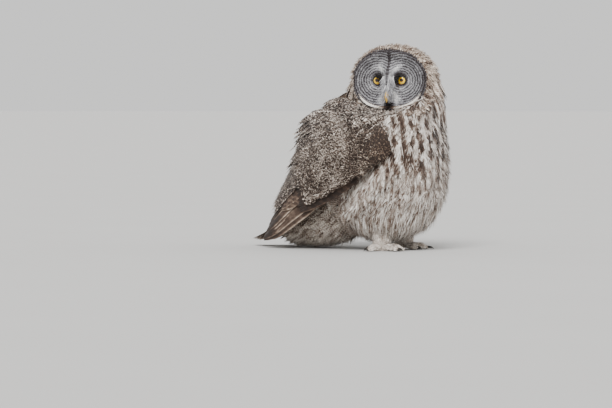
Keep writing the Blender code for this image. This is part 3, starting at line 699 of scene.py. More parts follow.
def legChart(side):
    def chart(turn, height):
        f = footSettings
        share = (height - f["ankle"]) / (f["legTop"] - f["ankle"])
        radius = f["ankleRadius"] + (f["topRadius"] - f["ankleRadius"]) * ease(share)
        radius = np.where(share < 0, f["ankleRadius"] - 0.0035 * ease(-share * 3), radius)
        angle = twoPi * turn
        return np.stack([side * f["spread"] + radius * np.sin(angle),
                         f["y"] + 0.016 * np.maximum(share, 0) - 1.1 * radius * np.cos(angle),
                         height + 0 * angle], -1)
    return chart


def toeChart(side, turnAway, length):
    angle = math.radians(turnAway)
    ahead = np.array([side * math.sin(angle), -math.cos(angle), 0])
    aside = np.array([-ahead[1], ahead[0], 0])
    origin = np.array([side * footSettings["spread"], footSettings["y"], 0])

    def chart(turn, share):
        swell = 1 - 0.22 * share - 0.35 * ease((share - 0.8) / 0.2)
        a = twoPi * turn
        level = np.maximum(0.0008, footSettings["toeHeight"] * swell * (0.42 + 0.58 * np.cos(a)))
        wide = 0.5 * footSettings["toeWidth"] * swell * np.sin(a)
        return (origin + ahead * (length * share)[..., None] + aside * wide[..., None]
                + straightUp * level[..., None])
    return chart


def buildSkin(material):
    forms = [bodyForm(), headForm(), coneForm(rumpLine, skinSettings["rumpDepth"]),
             coneForm(ventLine, skinSettings["ventDepth"])]
    turn = turns("leg")
    for side in (-1, 1):
        forms.append(wingForm(side))
        forms.append([sunk(legChart(side), turn, h, skinSettings["legDepth"])
                      for h in (0.002, 0.010, 0.018, 0.026, 0.045, 0.065, 0.085, 0.100)])
        for turnAway, length in footSettings["toes"].values():
            forms.append([sunk(toeChart(side, turnAway, length), turn, s, skinSettings["toeDepth"], -1)
                          for s in (0.0, 0.25, 0.5, 0.75, 0.9, 0.99)])
    pieces = [gridMesh("skinForm", form) for form in forms]
    for piece in pieces:
        closeNormals(piece)
    bpy.ops.object.select_all(action="DESELECT")
    for piece in pieces:
        piece.select_set(True)
    skin = pieces[0]
    bpy.context.view_layer.objects.active = skin
    bpy.ops.object.join()
    skin.name = skin.data.name = "skin"
    remesh = skin.modifiers.new("oneSkin", "REMESH")
    remesh.mode = "VOXEL"
    remesh.voxel_size = skinSettings["voxel"]
    remesh.use_smooth_shade = True
    activate(skin)
    bpy.ops.object.modifier_apply(modifier=remesh.name)
    smooth = skin.modifiers.new("soften", "SMOOTH")
    smooth.factor, smooth.iterations = 0.5, 6
    bpy.ops.object.modifier_apply(modifier=smooth.name)
    mesh = skin.data
    points = pointsOf(mesh)
    points[:, 2] = np.maximum(points[:, 2], 0.0)
    keepMarks(mesh, "pigment", skinMarks(points))
    points[:, 1] += shiftY
    mesh.vertices.foreach_set("co", points.ravel())
    mesh.update()
    mesh.materials.append(material)
    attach(skin, "root")
    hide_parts(*fleshNodes)
    print(f"skin: {len(mesh.polygons)} faces")


def skinMarks(points):
    left, up, ahead = toHead(points)
    body = np.stack(np.broadcast_arrays(*bodyMarks(points)), -1)
    crown = np.stack(np.broadcast_arrays(*crownMarks(points)), -1)
    face = np.stack(np.broadcast_arrays(*faceMarks(points)), -1)
    face[:, 2] = 0.1
    onHead = ease((points[:, 2] - 0.315) / 0.02)[:, None]
    onFace = (ease((1.03 - discShare(left, up)) / 0.03) * ease((ahead - 0.02) / 0.01))[:, None]
    marks = body * (1 - onHead) + crown * onHead
    marks = marks * (1 - onFace) + face * onFace
    onWing = ease((np.abs(points[:, 0]) - 0.098) / 0.01) * ease((points[:, 1] + 0.10) / 0.03)
    behind = ease((points[:, 1] - 0.150) / 0.02) * ease((points[:, 2] - 0.13) / 0.02)
    onWing = (np.maximum(onWing, behind) * ease((0.30 - points[:, 2]) / 0.02))[:, None]
    return marks * (1 - onWing) + np.array(skinSettings["wingColour"]) * onWing


# Materials

def freshTree(name):
    material = bpy.data.materials.new(name)
    material.use_nodes = True
    material.node_tree.nodes.clear()
    return material, material.node_tree


def calculator(tree):
    # adds one node of arithmetic at each call
    def calc(operation, first, second=None, clamp=False):
        inputs = {0: first} if second is None else {0: first, 1: second}
        settings = {"operation": operation, "use_clamp": clamp}
        return addNode(tree, "ShaderNodeMath", settings, inputs).outputs[0]
    return calc


def readMarks(tree, title):
    # the three numbers that a mesh keeps at its points under one name
    marks = addNode(tree, "ShaderNodeAttribute", {"attribute_name": title}).outputs["Vector"]
    return marks, addNode(tree, "ShaderNodeSeparateXYZ", {}, {0: marks}).outputs


def noise(tree, where, scale, detail, roughness=0.5):
    return addNode(tree, "ShaderNodeTexNoise", {}, {
        "Vector": where, "Scale": scale, "Detail": detail, "Roughness": roughness}).outputs[0]


def colourRamp(tree, value, stops):
    ramp = addNode(tree, "ShaderNodeValToRGB", {}, {0: value})
    ends = ramp.color_ramp.elements
    for end, (position, code) in ((ends[0], stops[0]), (ends[1], stops[-1])):
        end.position, end.color = position, hexColour(code)
    for position, code in stops[1:-1]:
        ends.new(position).color = hexColour(code)
    return ramp.outputs[0]


def surface(tree, inputs):
    shader = addNode(tree, "ShaderNodeBsdfPrincipled", {}, inputs)
    addNode(tree, "ShaderNodeOutputMaterial", {}, {"Surface": shader.outputs[0]})


def plumageMaterial(name, settings):
    # barbs of keratin with matte melanin colours: no gloss, a little sheen at grazing light
    material, tree = freshTree(name)
    calc = calculator(tree)
    dark, bars, warm = readMarks(tree, "pigment")[1]
    place, (across, along, seed) = readMarks(tree, "vanePlace")
    shifted = addNode(tree, "ShaderNodeVectorMath", {"operation": "MULTIPLY"},
                      {0: place, 1: (0.22, 0.22, 61.0)}).outputs[0]
    # bars across the vane, broken and wavy, spaced in mm
    wander = noise(tree, shifted, settings["waviness"], 2.0, 0.6)
    phase = calc("MULTIPLY", along, twoPi / settings["barSpacing"])
    bend = calc("MULTIPLY", wander, settings["barBend"])
    slant = calc("MULTIPLY", calc("ABSOLUTE", across), 0.25)
    phase = calc("ADD", calc("ADD", phase, bend), slant)
    wave = calc("SINE", calc("ADD", phase, calc("MULTIPLY", seed, 40.0)))
    # speckles of a few mm, drawn coarser than barbules so that they show
    speckle = noise(tree, shifted, settings["speckle"], 2.5, 0.7)
    speckle = calc("MULTIPLY", calc("SUBTRACT", speckle, 0.5), 4.0)
    # vermiculation: pale worm lines where a field of a few mm crosses its middle
    worm = noise(tree, shifted, settings["worm"], 1.0)
    worm = calc("ABSOLUTE", calc("SUBTRACT", worm, 0.5))
    worm = calc("SUBTRACT", 1.0, calc("MULTIPLY", worm, settings["wormSharpness"]), clamp=True)
    worm = calc("SUBTRACT", 0.45, worm)
    share = settings["wormShare"]
    pattern = calc("ADD", calc("MULTIPLY", wave, 0.7 * (1 - share)),
                   calc("MULTIPLY", worm, 1.5 * share))
    pattern = calc("ADD", pattern, calc("MULTIPLY", speckle, 0.40))
    value = calc("ADD", dark, calc("MULTIPLY", calc("MULTIPLY", pattern, bars), settings["contrast"]))
    # the shaft shows as a fine darker line
    shaft = calc("SUBTRACT", 1.0, calc("MULTIPLY", calc("ABSOLUTE", across), 1.6), clamp=True)
    value = calc("ADD", value, calc("MULTIPLY", shaft, settings["shaft"]), clamp=True)
    colour = colourRamp(tree, value, settings["stops"])
    warmth = addNode(tree, "ShaderNodeMix", {"data_type": "RGBA", "blend_type": "MULTIPLY"},
                     {0: warm, 6: colour, 7: hexColour(settings["buff"])}).outputs[2]
    barbs = calc("MULTIPLY", calc("ADD", calc("MULTIPLY", calc("ABSOLUTE", across), 0.9), along),
                 twoPi / settings["barbSpacing"])
    bump = addNode(tree, "ShaderNodeBump", {}, {
        "Height": calc("SINE", barbs), "Strength": settings["relief"], "Distance": 0.0004}).outputs[0]
    surface(tree, {"Base Color": warmth, "Roughness": settings["roughness"], "IOR": 1.54,
                   "Specular IOR Level": 0.25, "Sheen Weight": settings["sheen"],
                   "Sheen Roughness": 0.5, "Normal": bump})
    return material


softStops = ((0.0, "#F0ECE6"), (0.20, "#D2CAC1"), (0.45, "#978A80"), (0.70, "#5F4D43"), (1.0, "#33261F"))
wingStops = ((0.0, "#E9E3DB"), (0.22, "#B8ADA3"), (0.45, "#7A6C63"), (0.70, "#4C3D35"), (1.0, "#281E18"))
plumageCommon = {"wormSharpness": 13.0, "wormShare": 0.3, "shaft": 0.06, "stops": softStops}
plumageSettings = {
    "bodyFeathers": {"contrast": 0.6, "waviness": 1.4, "barBend": 5.0, "barSpacing": 5.0, "speckle": 2.2,
                     "worm": 1.3, "buff": "#EBDAC4", "barbSpacing": 1.2, "relief": 0.35,
                     "roughness": 0.92, "sheen": 0.25},
    "crownFeathers": {"contrast": 0.75, "waviness": 1.6, "barBend": 5.0, "barSpacing": 4.4,
                      "speckle": 2.4, "worm": 1.4, "wormShare": 0.4, "buff": "#E9D3B8",
                      "barbSpacing": 1.2, "relief": 0.3, "roughness": 0.92, "sheen": 0.2},
    "wingFeathers": {"contrast": 1.0, "waviness": 1.2, "barBend": 6.0, "barSpacing": 8.0, "speckle": 1.4,
                     "worm": 0.62, "wormSharpness": 17.0, "wormShare": 0.7, "stops": wingStops,
                     "buff": "#E2CBAE", "barbSpacing": 1.3, "relief": 0.45, "roughness": 0.85,
                     "sheen": 0.15},
    "flightFeathers": {"contrast": 0.7, "waviness": 0.7, "barBend": 5.0, "barSpacing": 17.0,
                       "speckle": 1.1, "worm": 0.7, "wormShare": 0.35, "stops": wingStops,
                       "buff": "#DEC4A2", "barbSpacing": 1.5, "relief": 0.5, "roughness": 0.78,
                       "sheen": 0.1, "shaft": 0.25},
    "legDown": {"contrast": 0.6, "waviness": 1.5, "barBend": 4.0, "barSpacing": 4.5, "speckle": 2.4,
                "worm": 1.4, "buff": "#E9DCCB", "barbSpacing": 1.0, "relief": 0.2, "roughness": 0.95,
                "sheen": 0.3},
}


def faceMaterial(name):
    # short stiff disc feathers, silver grey with fine dark rings round each eye
    material, tree = freshTree(name)
    calc = calculator(tree)
    dark, lines, ringAt = readMarks(tree, "pigment")[1]
    where = addNode(tree, "ShaderNodeTexCoord").outputs["Object"]
    stir, grain = noise(tree, where, 120.0, 2.0), noise(tree, where, 420.0, 2.0)
    # rings every 5.6 mm from the eye, broken where the noise runs low
    phase = calc("ADD", calc("MULTIPLY", ringAt, twoPi / 0.056), calc("MULTIPLY", stir, 5.5))
    broken = calc("ADD", 0.35, calc("MULTIPLY", grain, 1.3))
    wave = calc("MULTIPLY", calc("MULTIPLY", calc("SINE", phase), lines), broken)
    value = calc("ADD", dark, calc("MULTIPLY", wave, 0.27))
    value = calc("ADD", value, calc("MULTIPLY", calc("SUBTRACT", grain, 0.5), 0.45), clamp=True)
    colour = colourRamp(tree, value, ((0.0, "#E6E4E2"), (0.25, "#B4B3B5"), (0.5, "#77767A"),
                                      (0.75, "#40393A"), (1.0, "#130E0C")))
    surface(tree, {"Base Color": colour, "Roughness": 0.9, "IOR": 1.54, "Specular IOR Level": 0.25,
                   "Sheen Weight": 0.15, "Sheen Roughness": 0.5})
    return material


def hornMaterial(name, colours, roughness, scale):
    # keratin sheath, worn smooth: a satin gloss with faint growth lines
    material, tree = freshTree(name)
    where = addNode(tree, "ShaderNodeTexCoord").outputs["Object"]
    stretch = addNode(tree, "ShaderNodeMapping", {}, {
        "Vector": where, "Scale": (1.0, 1.0, 0.25)}).outputs[0]
    cloud = noise(tree, stretch, scale, 3.0)
    colour = colourRamp(tree, cloud, ((0.3, colours[0]), (0.7, colours[1])))
    bump = addNode(tree, "ShaderNodeBump", {}, {
        "Height": cloud, "Strength": 0.2, "Distance": 0.0004}).outputs[0]
    surface(tree, {"Base Color": colour, "Roughness": roughness, "IOR": 1.55, "Normal": bump})
    return material


def eyeMaterial(name):
    # a wet cornea over a yellow iris with a darker edge and fine spokes
    material, tree = freshTree(name)
    calc = calculator(tree)
    spokes, (away, _, _) = readMarks(tree, "irisPlace")
    fine = noise(tree, spokes, 7.0, 3.0)
    shift = calc("ADD", calc("MULTIPLY", calc("SUBTRACT", fine, 0.5), 0.12), away)
    colour = colourRamp(tree, shift, (
        (0.0, "#050403"), (0.31, "#060504"), (0.35, "#D98A12"), (0.42, "#FFC92B"), (0.66, "#FFDD3C"),
        (0.82, "#F8A91C"), (0.89, "#8A4A0C"), (0.94, "#160D07"), (0.98, "#0A0705")))
    surface(tree, {"Base Color": colour, "Roughness": 0.08, "IOR": 1.38, "Coat Weight": 0.6,
                   "Coat Roughness": 0.02})
    return material


materials = {name: plumageMaterial(name, plumageCommon | settings)
             for name, settings in plumageSettings.items()}
materials["discFeathers"] = faceMaterial("discFeathers")
materials["billHorn"] = hornMaterial("billHorn", ("#B98A2E", "#DDB64E"), 0.38, 160.0)
materials["clawHorn"] = hornMaterial("clawHorn", ("#15120F", "#2C2722"), 0.3, 200.0)
materials["wetEye"] = eyeMaterial("wetEye")
materials["lidSkin"] = hornMaterial("lidSkin", ("#0E0B0A", "#1C1715"), 0.6, 300.0)
print("materials ready")

buildSkin(materials["bodyFeathers"])


# Coats

leafProfile = (0.6, 1.0, 0.88, 0.15)
strandProfile = (0.8, 0.9, 0.06)


def spinUV(u, v):
    # where a root lies on an unwrap of its own surface
    return np.stack([np.asarray(u) % 1.0, np.clip(v, 0, 1)], -1)


def stretchedUV(first, last):
    return lambda u, v: spinUV(u, (v - first) / (last - first))


def discUV(left, up):
    return np.stack([0.5 + left / 0.17, 0.5 + up / 0.14], -1)


def wingUV(share, across):
    return np.stack([0.04 + 0.92 * np.clip(share, 0, 1), 0.04 + 0.92 * np.clip(across, 0, 1)], -1)


def layFeathers(coat, chart, roots, lie, length, width, profile, lift, marks, bakeAt, seed, flip=1,
                across=3, tilt=0.25, jitter=0.25, rise=0.0):
    # lays a feather at each root along the lie, its tip lifted off the coat below
    u, v = roots
    count = len(u)
    draw = np.random.default_rng(seed)
    rows = len(profile)
    lengths = length * (1 + jitter * draw.uniform(-1, 1, count))
    turnBy = draw.normal(0, jitter * 0.5, count)
    lifts = lift * (1 + 0.5 * draw.uniform(-1, 1, count))

    def turned(here, out, uu, vv):
        way = unit(lie(here, out, uu, vv))
        aside = np.cross(out, way)
        return way * np.cos(turnBy)[:, None] + aside * np.sin(turnBy)[:, None]

    paths, outs = trace(chart, u, v, turned, lengths, rows, flip)
    height = lifts[:, None] * np.linspace(0, 1, rows) ** 1.4
    height = np.broadcast_to(rise, (count,))[:, None] + height
    paths = paths + outs * height[..., None]
    widths = width * (1 + 0.3 * draw.uniform(-1, 1, count))
    coat.add(paths, outs, widths, profile, bakeAt(u, v), marks, draw.uniform(0, 1, count),
             across=across, tilt=draw.normal(0, tilt, count))


def steady(way):
    # a lie that points one way everywhere
    way = np.asarray(way, float)
    return lambda here, out, u, v: np.broadcast_to(way, here.shape)


def bodyLie(here, out, u, v):
    way = np.zeros_like(here)
    way[:, 2] = -0.85
    way[:, 1] = 0.16 + 0.55 * ease((0.16 - here[:, 2]) / 0.10)
    way[:, 0] = 0.10 * np.sign(here[:, 0])
    return way


def freckled(marks, seed, amount=0.12, shake=0.0022):
    # marks read a little off their place for each feather, which frays their edges
    draw = np.random.default_rng(seed)

    def pigment(points, across, along):
        off = draw.normal(0, shake, (points.shape[0], 1, 1, 3))
        dark, bars, warm = marks(points + off)
        dark = dark + draw.normal(0, amount, (points.shape[0], 1, 1))
        return np.clip(dark, 0, 1), bars, warm
    return pigment


def shaken(tone, seed, amount):
    # makes each feather a little darker or paler than the next
    draw = np.random.default_rng(seed)

    def pigment(points, across, along):
        dark, bars, warm = tone(points, across, along)
        return np.clip(dark + draw.normal(0, amount, (points.shape[0], 1, 1)), 0, 1), bars, warm
    return pigment


def bodyBake(u, v):
    return spinUV(u, (v - 0.036) / 0.33)


bodyCoat = {  # count, length, half width, profile, lift, seed, rise, spread of sizes, kept by the wing
    "bodyPlumage": (9500, 0.030, 0.0058, leafProfile, 0.0045, 1, -0.0040, 0.25, 0.25),
    "bodyWisps": (9000, 0.024, 0.0011, strandProfile, 0.0085, 2, -0.0020, 0.45, 0.0),
}


def clearOfFace(here):
    # true where a feather wouldn't hide the disc and its white lower edge
    left, up, ahead = toHead(here)
    edge = 1.10 - 0.04 * ease((-0.03 - up) / 0.02)
    return (discShare(left, up) > edge) | (ahead < -0.02) | (here[..., 2] < 0.27)


def buildBody():
    for name, row in bodyCoat.items():
        count, length, width, profile, lift, seed, rise, jitter, thin = row
        # each half of the body is a piece of its own
        for word, first in (("left", 0.0), ("right", 0.5)):
            coat = Coat(f"{name}_{word}")
            u, v = scatter(bodyChart, count // 2, (first, first + 0.5), (0.040, 0.352), seed)
            draw = np.random.default_rng(seed + 20)
            here = bodyChart(u, v)
            # the wing covers most of each side, so the roots there are thinned
            keep = (~underWing(here) | (draw.uniform(0, 1, len(u)) < thin)) & clearOfFace(here)
            u, v, here = u[keep], v[keep], here[keep]
            # the feathers of the flank fluff out over the wing's edge
            flank = bell(here[:, 1], wingFront(here[:, 2]) + 0.004, 0.020)
            flank = flank * ease((np.abs(here[:, 0]) - 0.05) / 0.03)
            flank = flank * ease((0.26 - here[:, 2]) / 0.03) * ease((here[:, 2] - 0.07) / 0.03)
            layFeathers(coat, bodyChart, (u, v), bodyLie, length, width, profile, lift,
                        freckled(bodyMarks, seed + 30), bodyBake, seed + 40, rise=rise + 0.011 * flank,
                        jitter=jitter)
            # long loose feathers hang from the belly over the legs
            u, v = scatter(bodyChart, count // 10, (first, first + 0.5), (0.037, 0.090), seed + 3)
            layFeathers(coat, bodyChart, (u, v), hangingLie, length * 1.7, width, profile, lift * 1.8,
                        freckled(bodyMarks, seed + 33), bodyBake, seed + 43, rise=0.0, jitter=0.4)
            coat.make(materials["bodyFeathers"], "plumage_body")


def hangingLie(here, out, u, v):
    way = np.zeros_like(here)
    way[:, 2] = -1.0
    way[:, 1] = 0.25
    way[:, :2] -= here[:, :2] * 2.5
    return way


mantleCoat = {  # count, length, half width, profile, lift, seed, points across
    "feathers": (1500, 0.046, 0.0085, leafProfile, 0.012, 61, 5),
    "wisps": (2600, 0.046 * 0.8, 0.0012, strandProfile, 0.012 * 1.3, 62, 3),
}


def buildMantle():
    # the back's feathers run down over the upper edge of the folded wings
    coat = Coat("mantlePlumage")

    def lie(here, out, u, v):
        way = np.zeros_like(here)
        way[:, 2] = -0.80
        way[:, 1] = 0.60
        way[:, 0] = 0.22 * np.sign(here[:, 0])
        return way

    for count, length, width, profile, lift, seed, across in mantleCoat.values():
        u, v = scatter(bodyChart, count, (0.16, 0.84), (0.225, 0.335), seed)
        here = bodyChart(u, v)
        draw = np.random.default_rng(seed)
        fade = ease((np.abs(u - 0.5) * -1 + 0.34) / 0.05)
        keep = (draw.uniform(0, 1, len(u)) < fade) & clearOfFace(here)
        u, v = u[keep], v[keep]
        rise = 0.001 + 0.007 * ease((0.30 - v) / 0.05)
        layFeathers(coat, bodyChart, (u, v), lie, length, width, profile, lift,
                    shaken(mantleTone, seed, 0.16), bodyBake, seed + 2, rise=rise, jitter=0.3,
                    across=across)
    coat.make(materials["wingFeathers"], "plumage_body")


def mantleTone(points, across, along):
    x, y, z = np.moveaxis(points, -1, 0)
    cloud = latticeNoise(aroundBody(x, y) * 8, z / 0.016, 27)
    return 0.46 + 0.45 * (cloud - 0.5), 1.0, 0.2


def underWing(here):
    # true where the folded wing covers the body
    x, y, z = np.moveaxis(here, -1, 0)
    return (np.abs(x) > 0.060) & (y > wingFront(z) + 0.050) & (z > 0.05) & (z < 0.27)


def wingFront(z):
    # where the lower edge of the folded wing crosses the side of the body
    return -0.082 + 0.9 * np.maximum(0, 0.206 - z)


crownCoat = {  # count, length, half width, profile, lift, seed, rise, spread of sizes
    "feathers": (5200, 0.017, 0.0034, leafProfile, 0.0030, 51, -0.0030, 0.25),
    "wisps": (5400, 0.014, 0.0009, strandProfile, 0.0055, 52, -0.0010, 0.4),
}


def buildCrown():
    coat = Coat("crownPlumage")

    def bake(u, v):
        angle = twoPi * u
        reach = 0.5 * v / math.pi
        return 0.5 + np.stack([np.sin(angle), np.cos(angle)], -1) * reach[..., None] * 0.98

    for count, length, width, profile, lift, seed, rise, jitter in crownCoat.values():
        u, v = scatter(headChart, count, (0, 1), (headShape["rimAngle"] - 0.06, math.pi - 0.02), seed)
        here = headChart(u, v)
        keep = here[:, 2] > 0.312
        u, v, here = u[keep], v[keep], here[keep]
        _, _, ahead = toHead(here)
        # longer towards the nape, where they run down over the neck
        nape = ease((0.372 - here[:, 2]) / 0.05) * ease((0.02 - ahead) / 0.04)
        layFeathers(coat, headChart, (u, v), steady(-faceAhead * 0.75 + straightUp * -0.60),
                    length * (1 + 0.9 * nape), width * (1 + 0.3 * nape), profile, lift * (1 + nape),
                    freckled(crownMarks, seed + 10), bake, seed + 20, rise=rise, jitter=jitter)
    coat.make(materials["crownFeathers"], "plumage_body")
    buildNape(bake)


napeCoat = {  # count, half width, profile, seed
    "feathers": (1550, 0.0056, (0.6, 0.9, 1.0, 0.95, 0.7, 0.12), 55),
    "wisps": (1000, 0.0012, (0.8, 1.0, 0.9, 0.7, 0.4, 0.05), 56),
}
napeLength = 0.046


def buildNape(bake):
    # longer feathers fall from the back of the head onto the mantle and hide the neck
    coat = Coat("napePlumage")
    share = np.linspace(0, 1, 6)
    for count, width, profile, seed in napeCoat.values():
        draw = np.random.default_rng(seed)
        u, v = scatter(headChart, count * 2, (0.18, 0.82), (1.2, 2.6), seed)
        here, _, _, out = chartFrame(headChart, u, v)
        _, _, ahead = toHead(here)
        keep = (here[:, 2] > 0.312) & (here[:, 2] < 0.376) & (ahead < 0.020)
        u, v, here, out = u[keep][:count], v[keep][:count], here[keep][:count], out[keep][:count]
        along = np.cross(out, np.cross(-straightUp - faceAhead * 0.35, out))
        level = unit(out * np.array([1.0, 1.0, 0.0]))
        free = unit(-straightUp + level * 0.34 + draw.normal(0, 0.10, here.shape))
        turn = (share[None, :, None]) ** 0.7
        way = unit(unit(along)[:, None] * (1 - turn) + free[:, None] * turn)
        length = napeLength * draw.uniform(0.55, 1.1, len(u))
        stride = way * (length / 5)[:, None, None]
        paths = here[:, None] + np.cumsum(stride, 1) - stride[:, :1]
        paths = paths + out[:, None] * (0.0045 * share)[:, None]
        paths = clearOfBody(paths, 0.0040 + 0.0040 * draw.uniform(0, 1, (len(u), 1)) * share)
        outs = np.broadcast_to(unit(out + level)[:, None], paths.shape)
        coat.add(paths, outs, width * draw.uniform(0.7, 1.3, len(u)), profile, bake(u, v),
                 shaken(napeTone, seed, 0.10), draw.uniform(0, 1, len(u)),
                 tilt=draw.normal(0, 0.25, len(u)))
    coat.make(materials["crownFeathers"], "plumage_body")


def napeTone(points, across, along):
    # the crown's colours above run into the body's below
    low = ease((0.350 - points[..., 2]) / 0.04)
    return tuple(crown * (1 - low) + body * low
                 for crown, body in zip(crownMarks(points), bodyMarks(points)))


discCoat = {  # count, length, half width, profile, lift, seed, rise
    "feathers": (3600, 0.0105, 0.0017, leafProfile, 0.0022, 71, -0.0012),
    "wisps": (5200, 0.0095, 0.00055, strandProfile, 0.0030, 72, 0.0),
}


def buildFace():
    coat = Coat("discPlumage")

    def lie(here, out, left, up):
        # away from the eye of that side, and outwards near the rim
        side = np.where(left < 0, -1.0, 1.0)
        awayLeft = left - side * headShape["eyeOffset"] * 0.9
        return faceLeft * awayLeft[:, None] + straightUp * (up + 0.001)[:, None]

    for count, length, width, profile, lift, seed, rise in discCoat.values():
        spots = evenSpots(count * 2, seed)
        left = (spots[:, 0] * 2 - 1) * headShape["discHalfWidth"]
        up = (spots[:, 1] * 2 - 1) * headShape["discHalfHeight"]
        share = discShare(left, up)
        eyeAway = np.hypot(np.abs(left) - headShape["eyeOffset"], up)
        keep = (share < 0.985) & (eyeAway > 0.0112)
        keep &= (np.abs(left) > 0.0035) | (up > -0.012) | (up < -0.05)
        left, up = left[keep][:count], up[keep][:count]
        layFeathers(coat, discChart, (left, up), lie, length, width, profile, lift,
                    freckled(faceMarks, seed, 0.05, 0.0006), discUV, seed + 20, rise=rise, jitter=0.2,
                    tilt=0.15)
    for side in (-1, 1):
        faceTufts(coat, side)
    coat.make(materials["discFeathers"], "plumage_face")


lidShape = {"radius": 0.0098, "thickness": 0.0015, "depth": 0.0399}
loreCoat = {"count": 150, "length": 0.0115, "width": 0.0009, "whiskers": 260, "whiskerLength": 0.019,
            "lashes": 110, "lashLength": 0.0046, "lashWidth": 0.0008}


def faceTufts(coat, side):
    draw = np.random.default_rng(90 + side)
    count = loreCoat["count"]
    # stiff dark bristles stand ahead of the inner corner of the eye
    angle = draw.uniform(0.35, 2.05, count)
    reach = draw.uniform(0.0100, 0.0150, count)
    left = side * (headShape["eyeOffset"] - reach * np.sin(angle))
    up = reach * np.cos(angle)
    root = discChart(left, up)
    share = np.linspace(0, 1, 5)
    way = unit(faceAhead * 0.95 + faceLeft * (side * 0.55) + straightUp * 0.05
               + draw.normal(0, 0.16, (count, 3)))
    length = loreCoat["length"] * draw.uniform(0.7, 1.15, count)
    bend = faceLeft * side * 0.0030
    paths = (root[:, None] + way[:, None] * (length[:, None] * share)[..., None]
             + bend * (share**2)[:, None] - faceAhead * 0.001)
    outs = np.broadcast_to(unit(straightUp + faceLeft * -side * 0.6)[None, None], paths.shape)
    coat.add(paths, outs, loreCoat["width"] * draw.uniform(0.7, 1.3, count), (0.9, 1, 0.85, 0.6, 0.08),
             discUV(left, up),
             lambda points, across, along: (0.96 + 0 * across, 0.0, 0.0), draw.uniform(0, 1, count))

    # short dark feathers lie outwards from the lids
    edge = loreCoat["lashes"]
    angle = draw.uniform(0, twoPi, edge)
    left = side * headShape["eyeOffset"] + 0.0100 * np.sin(angle)
    up = 0.0100 * np.cos(angle)
    radial = faceLeft * np.sin(angle)[:, None] + straightUp * np.cos(angle)[:, None]
    length = loreCoat["lashLength"] * draw.uniform(0.6, 1.2, edge)
    length = length * (1 + 0.9 * np.maximum(0, np.cos(angle + side * 0.6)))
    root = fromHead(left, up, np.full(edge, lidShape["depth"]))
    reach = (length[:, None] * share)[..., None]
    paths = root[:, None] + radial[:, None] * reach - faceAhead * (reach * 0.25 + 0.0006)
    outs = np.broadcast_to(faceAhead, paths.shape)
    coat.add(paths, outs, loreCoat["lashWidth"] * draw.uniform(0.7, 1.3, edge), (0.9, 1, 0.8, 0.5, 0.06),
             discUV(left, up),
             lambda points, across, along: (0.98 - 0.25 * along, 0.0, 0.0), draw.uniform(0, 1, edge))

    # pale whiskers sweep down beside the bill and over its base
    count = loreCoat["whiskers"]
    up = draw.uniform(-0.034, 0.010, count)
    left = side * (draw.uniform(0.0006, 0.0095, count) + 0.0032 * ease((up + 0.010) / 0.006))
    root = discChart(left, up)
    way = unit(faceAhead * 0.42 - straightUp * 0.80 + faceLeft * (side * -0.02)
               + draw.normal(0, 0.10, (count, 3)))
    length = loreCoat["whiskerLength"] * draw.uniform(0.6, 1.1, count)
    paths = (root[:, None] + way[:, None] * (length[:, None] * share)[..., None]
             + faceLeft * (side * 0.0030 * share**2)[:, None])
    outs = np.broadcast_to(faceAhead, paths.shape)
    tone = draw.uniform(0.0, 0.35, (count, 1, 1))
    coat.add(paths, outs, loreCoat["width"] * draw.uniform(0.7, 1.3, count), (0.8, 1, 0.8, 0.5, 0.06),
             discUV(left, up),
             lambda points, across, along: (tone + 0.25 * along, 0.0, 0.0), draw.uniform(0, 1, count))


ruffCoat = {
    "length": 0.016, "width": 0.0030, "farthest": 0.007,
    # start outside the disc's edge, depth, share of the length, tone, number
    "rows": ((-0.0030, -0.0012, 0.20, "rim", 420), (-0.0012, -0.0018, 0.40, "pale", 340),
             (0.0010, -0.0036, 0.72, "mottled", 300), (0.0035, -0.0070, 0.95, "mottled", 280)),
    "smallCount": 2100, "smallLength": 0.0100,
    # profile, half width, seed
    "small": ((leafProfile, 0.0021, 85), (strandProfile, 0.0007, 86)),
}


def discEdge(angle):
    # place on the disc's edge, way out from it, and how far below the bill it lies
    left, up = discOutline(angle)
    across, tall = left / headShape["discHalfWidth"], up / headShape["discHalfHeight"]
    return left, up, unit(np.stack([across, tall], -1)), ease((-tall - 0.25) / 0.5)


def ruffChart(turn, share):
    # from the edge of the disc out over the coat round it, turn 0 being the top
    left, up, radial, under = discEdge(twoPi * np.asarray(turn))
    away = 0.0130 * share
    fall = (0.0180 - 0.0170 * under) * share**2
    ahead = faceDepth(left, up) - 0.0045 + 0.0025 * np.sin(2 * share) - fall
    points = fromHead(left + radial[..., 0] * away, up + radial[..., 1] * away, ahead)
    cleared = clearOfBody(points, 0.0030)
    return points + (cleared - points) * ease(share * 1.5)[..., None]


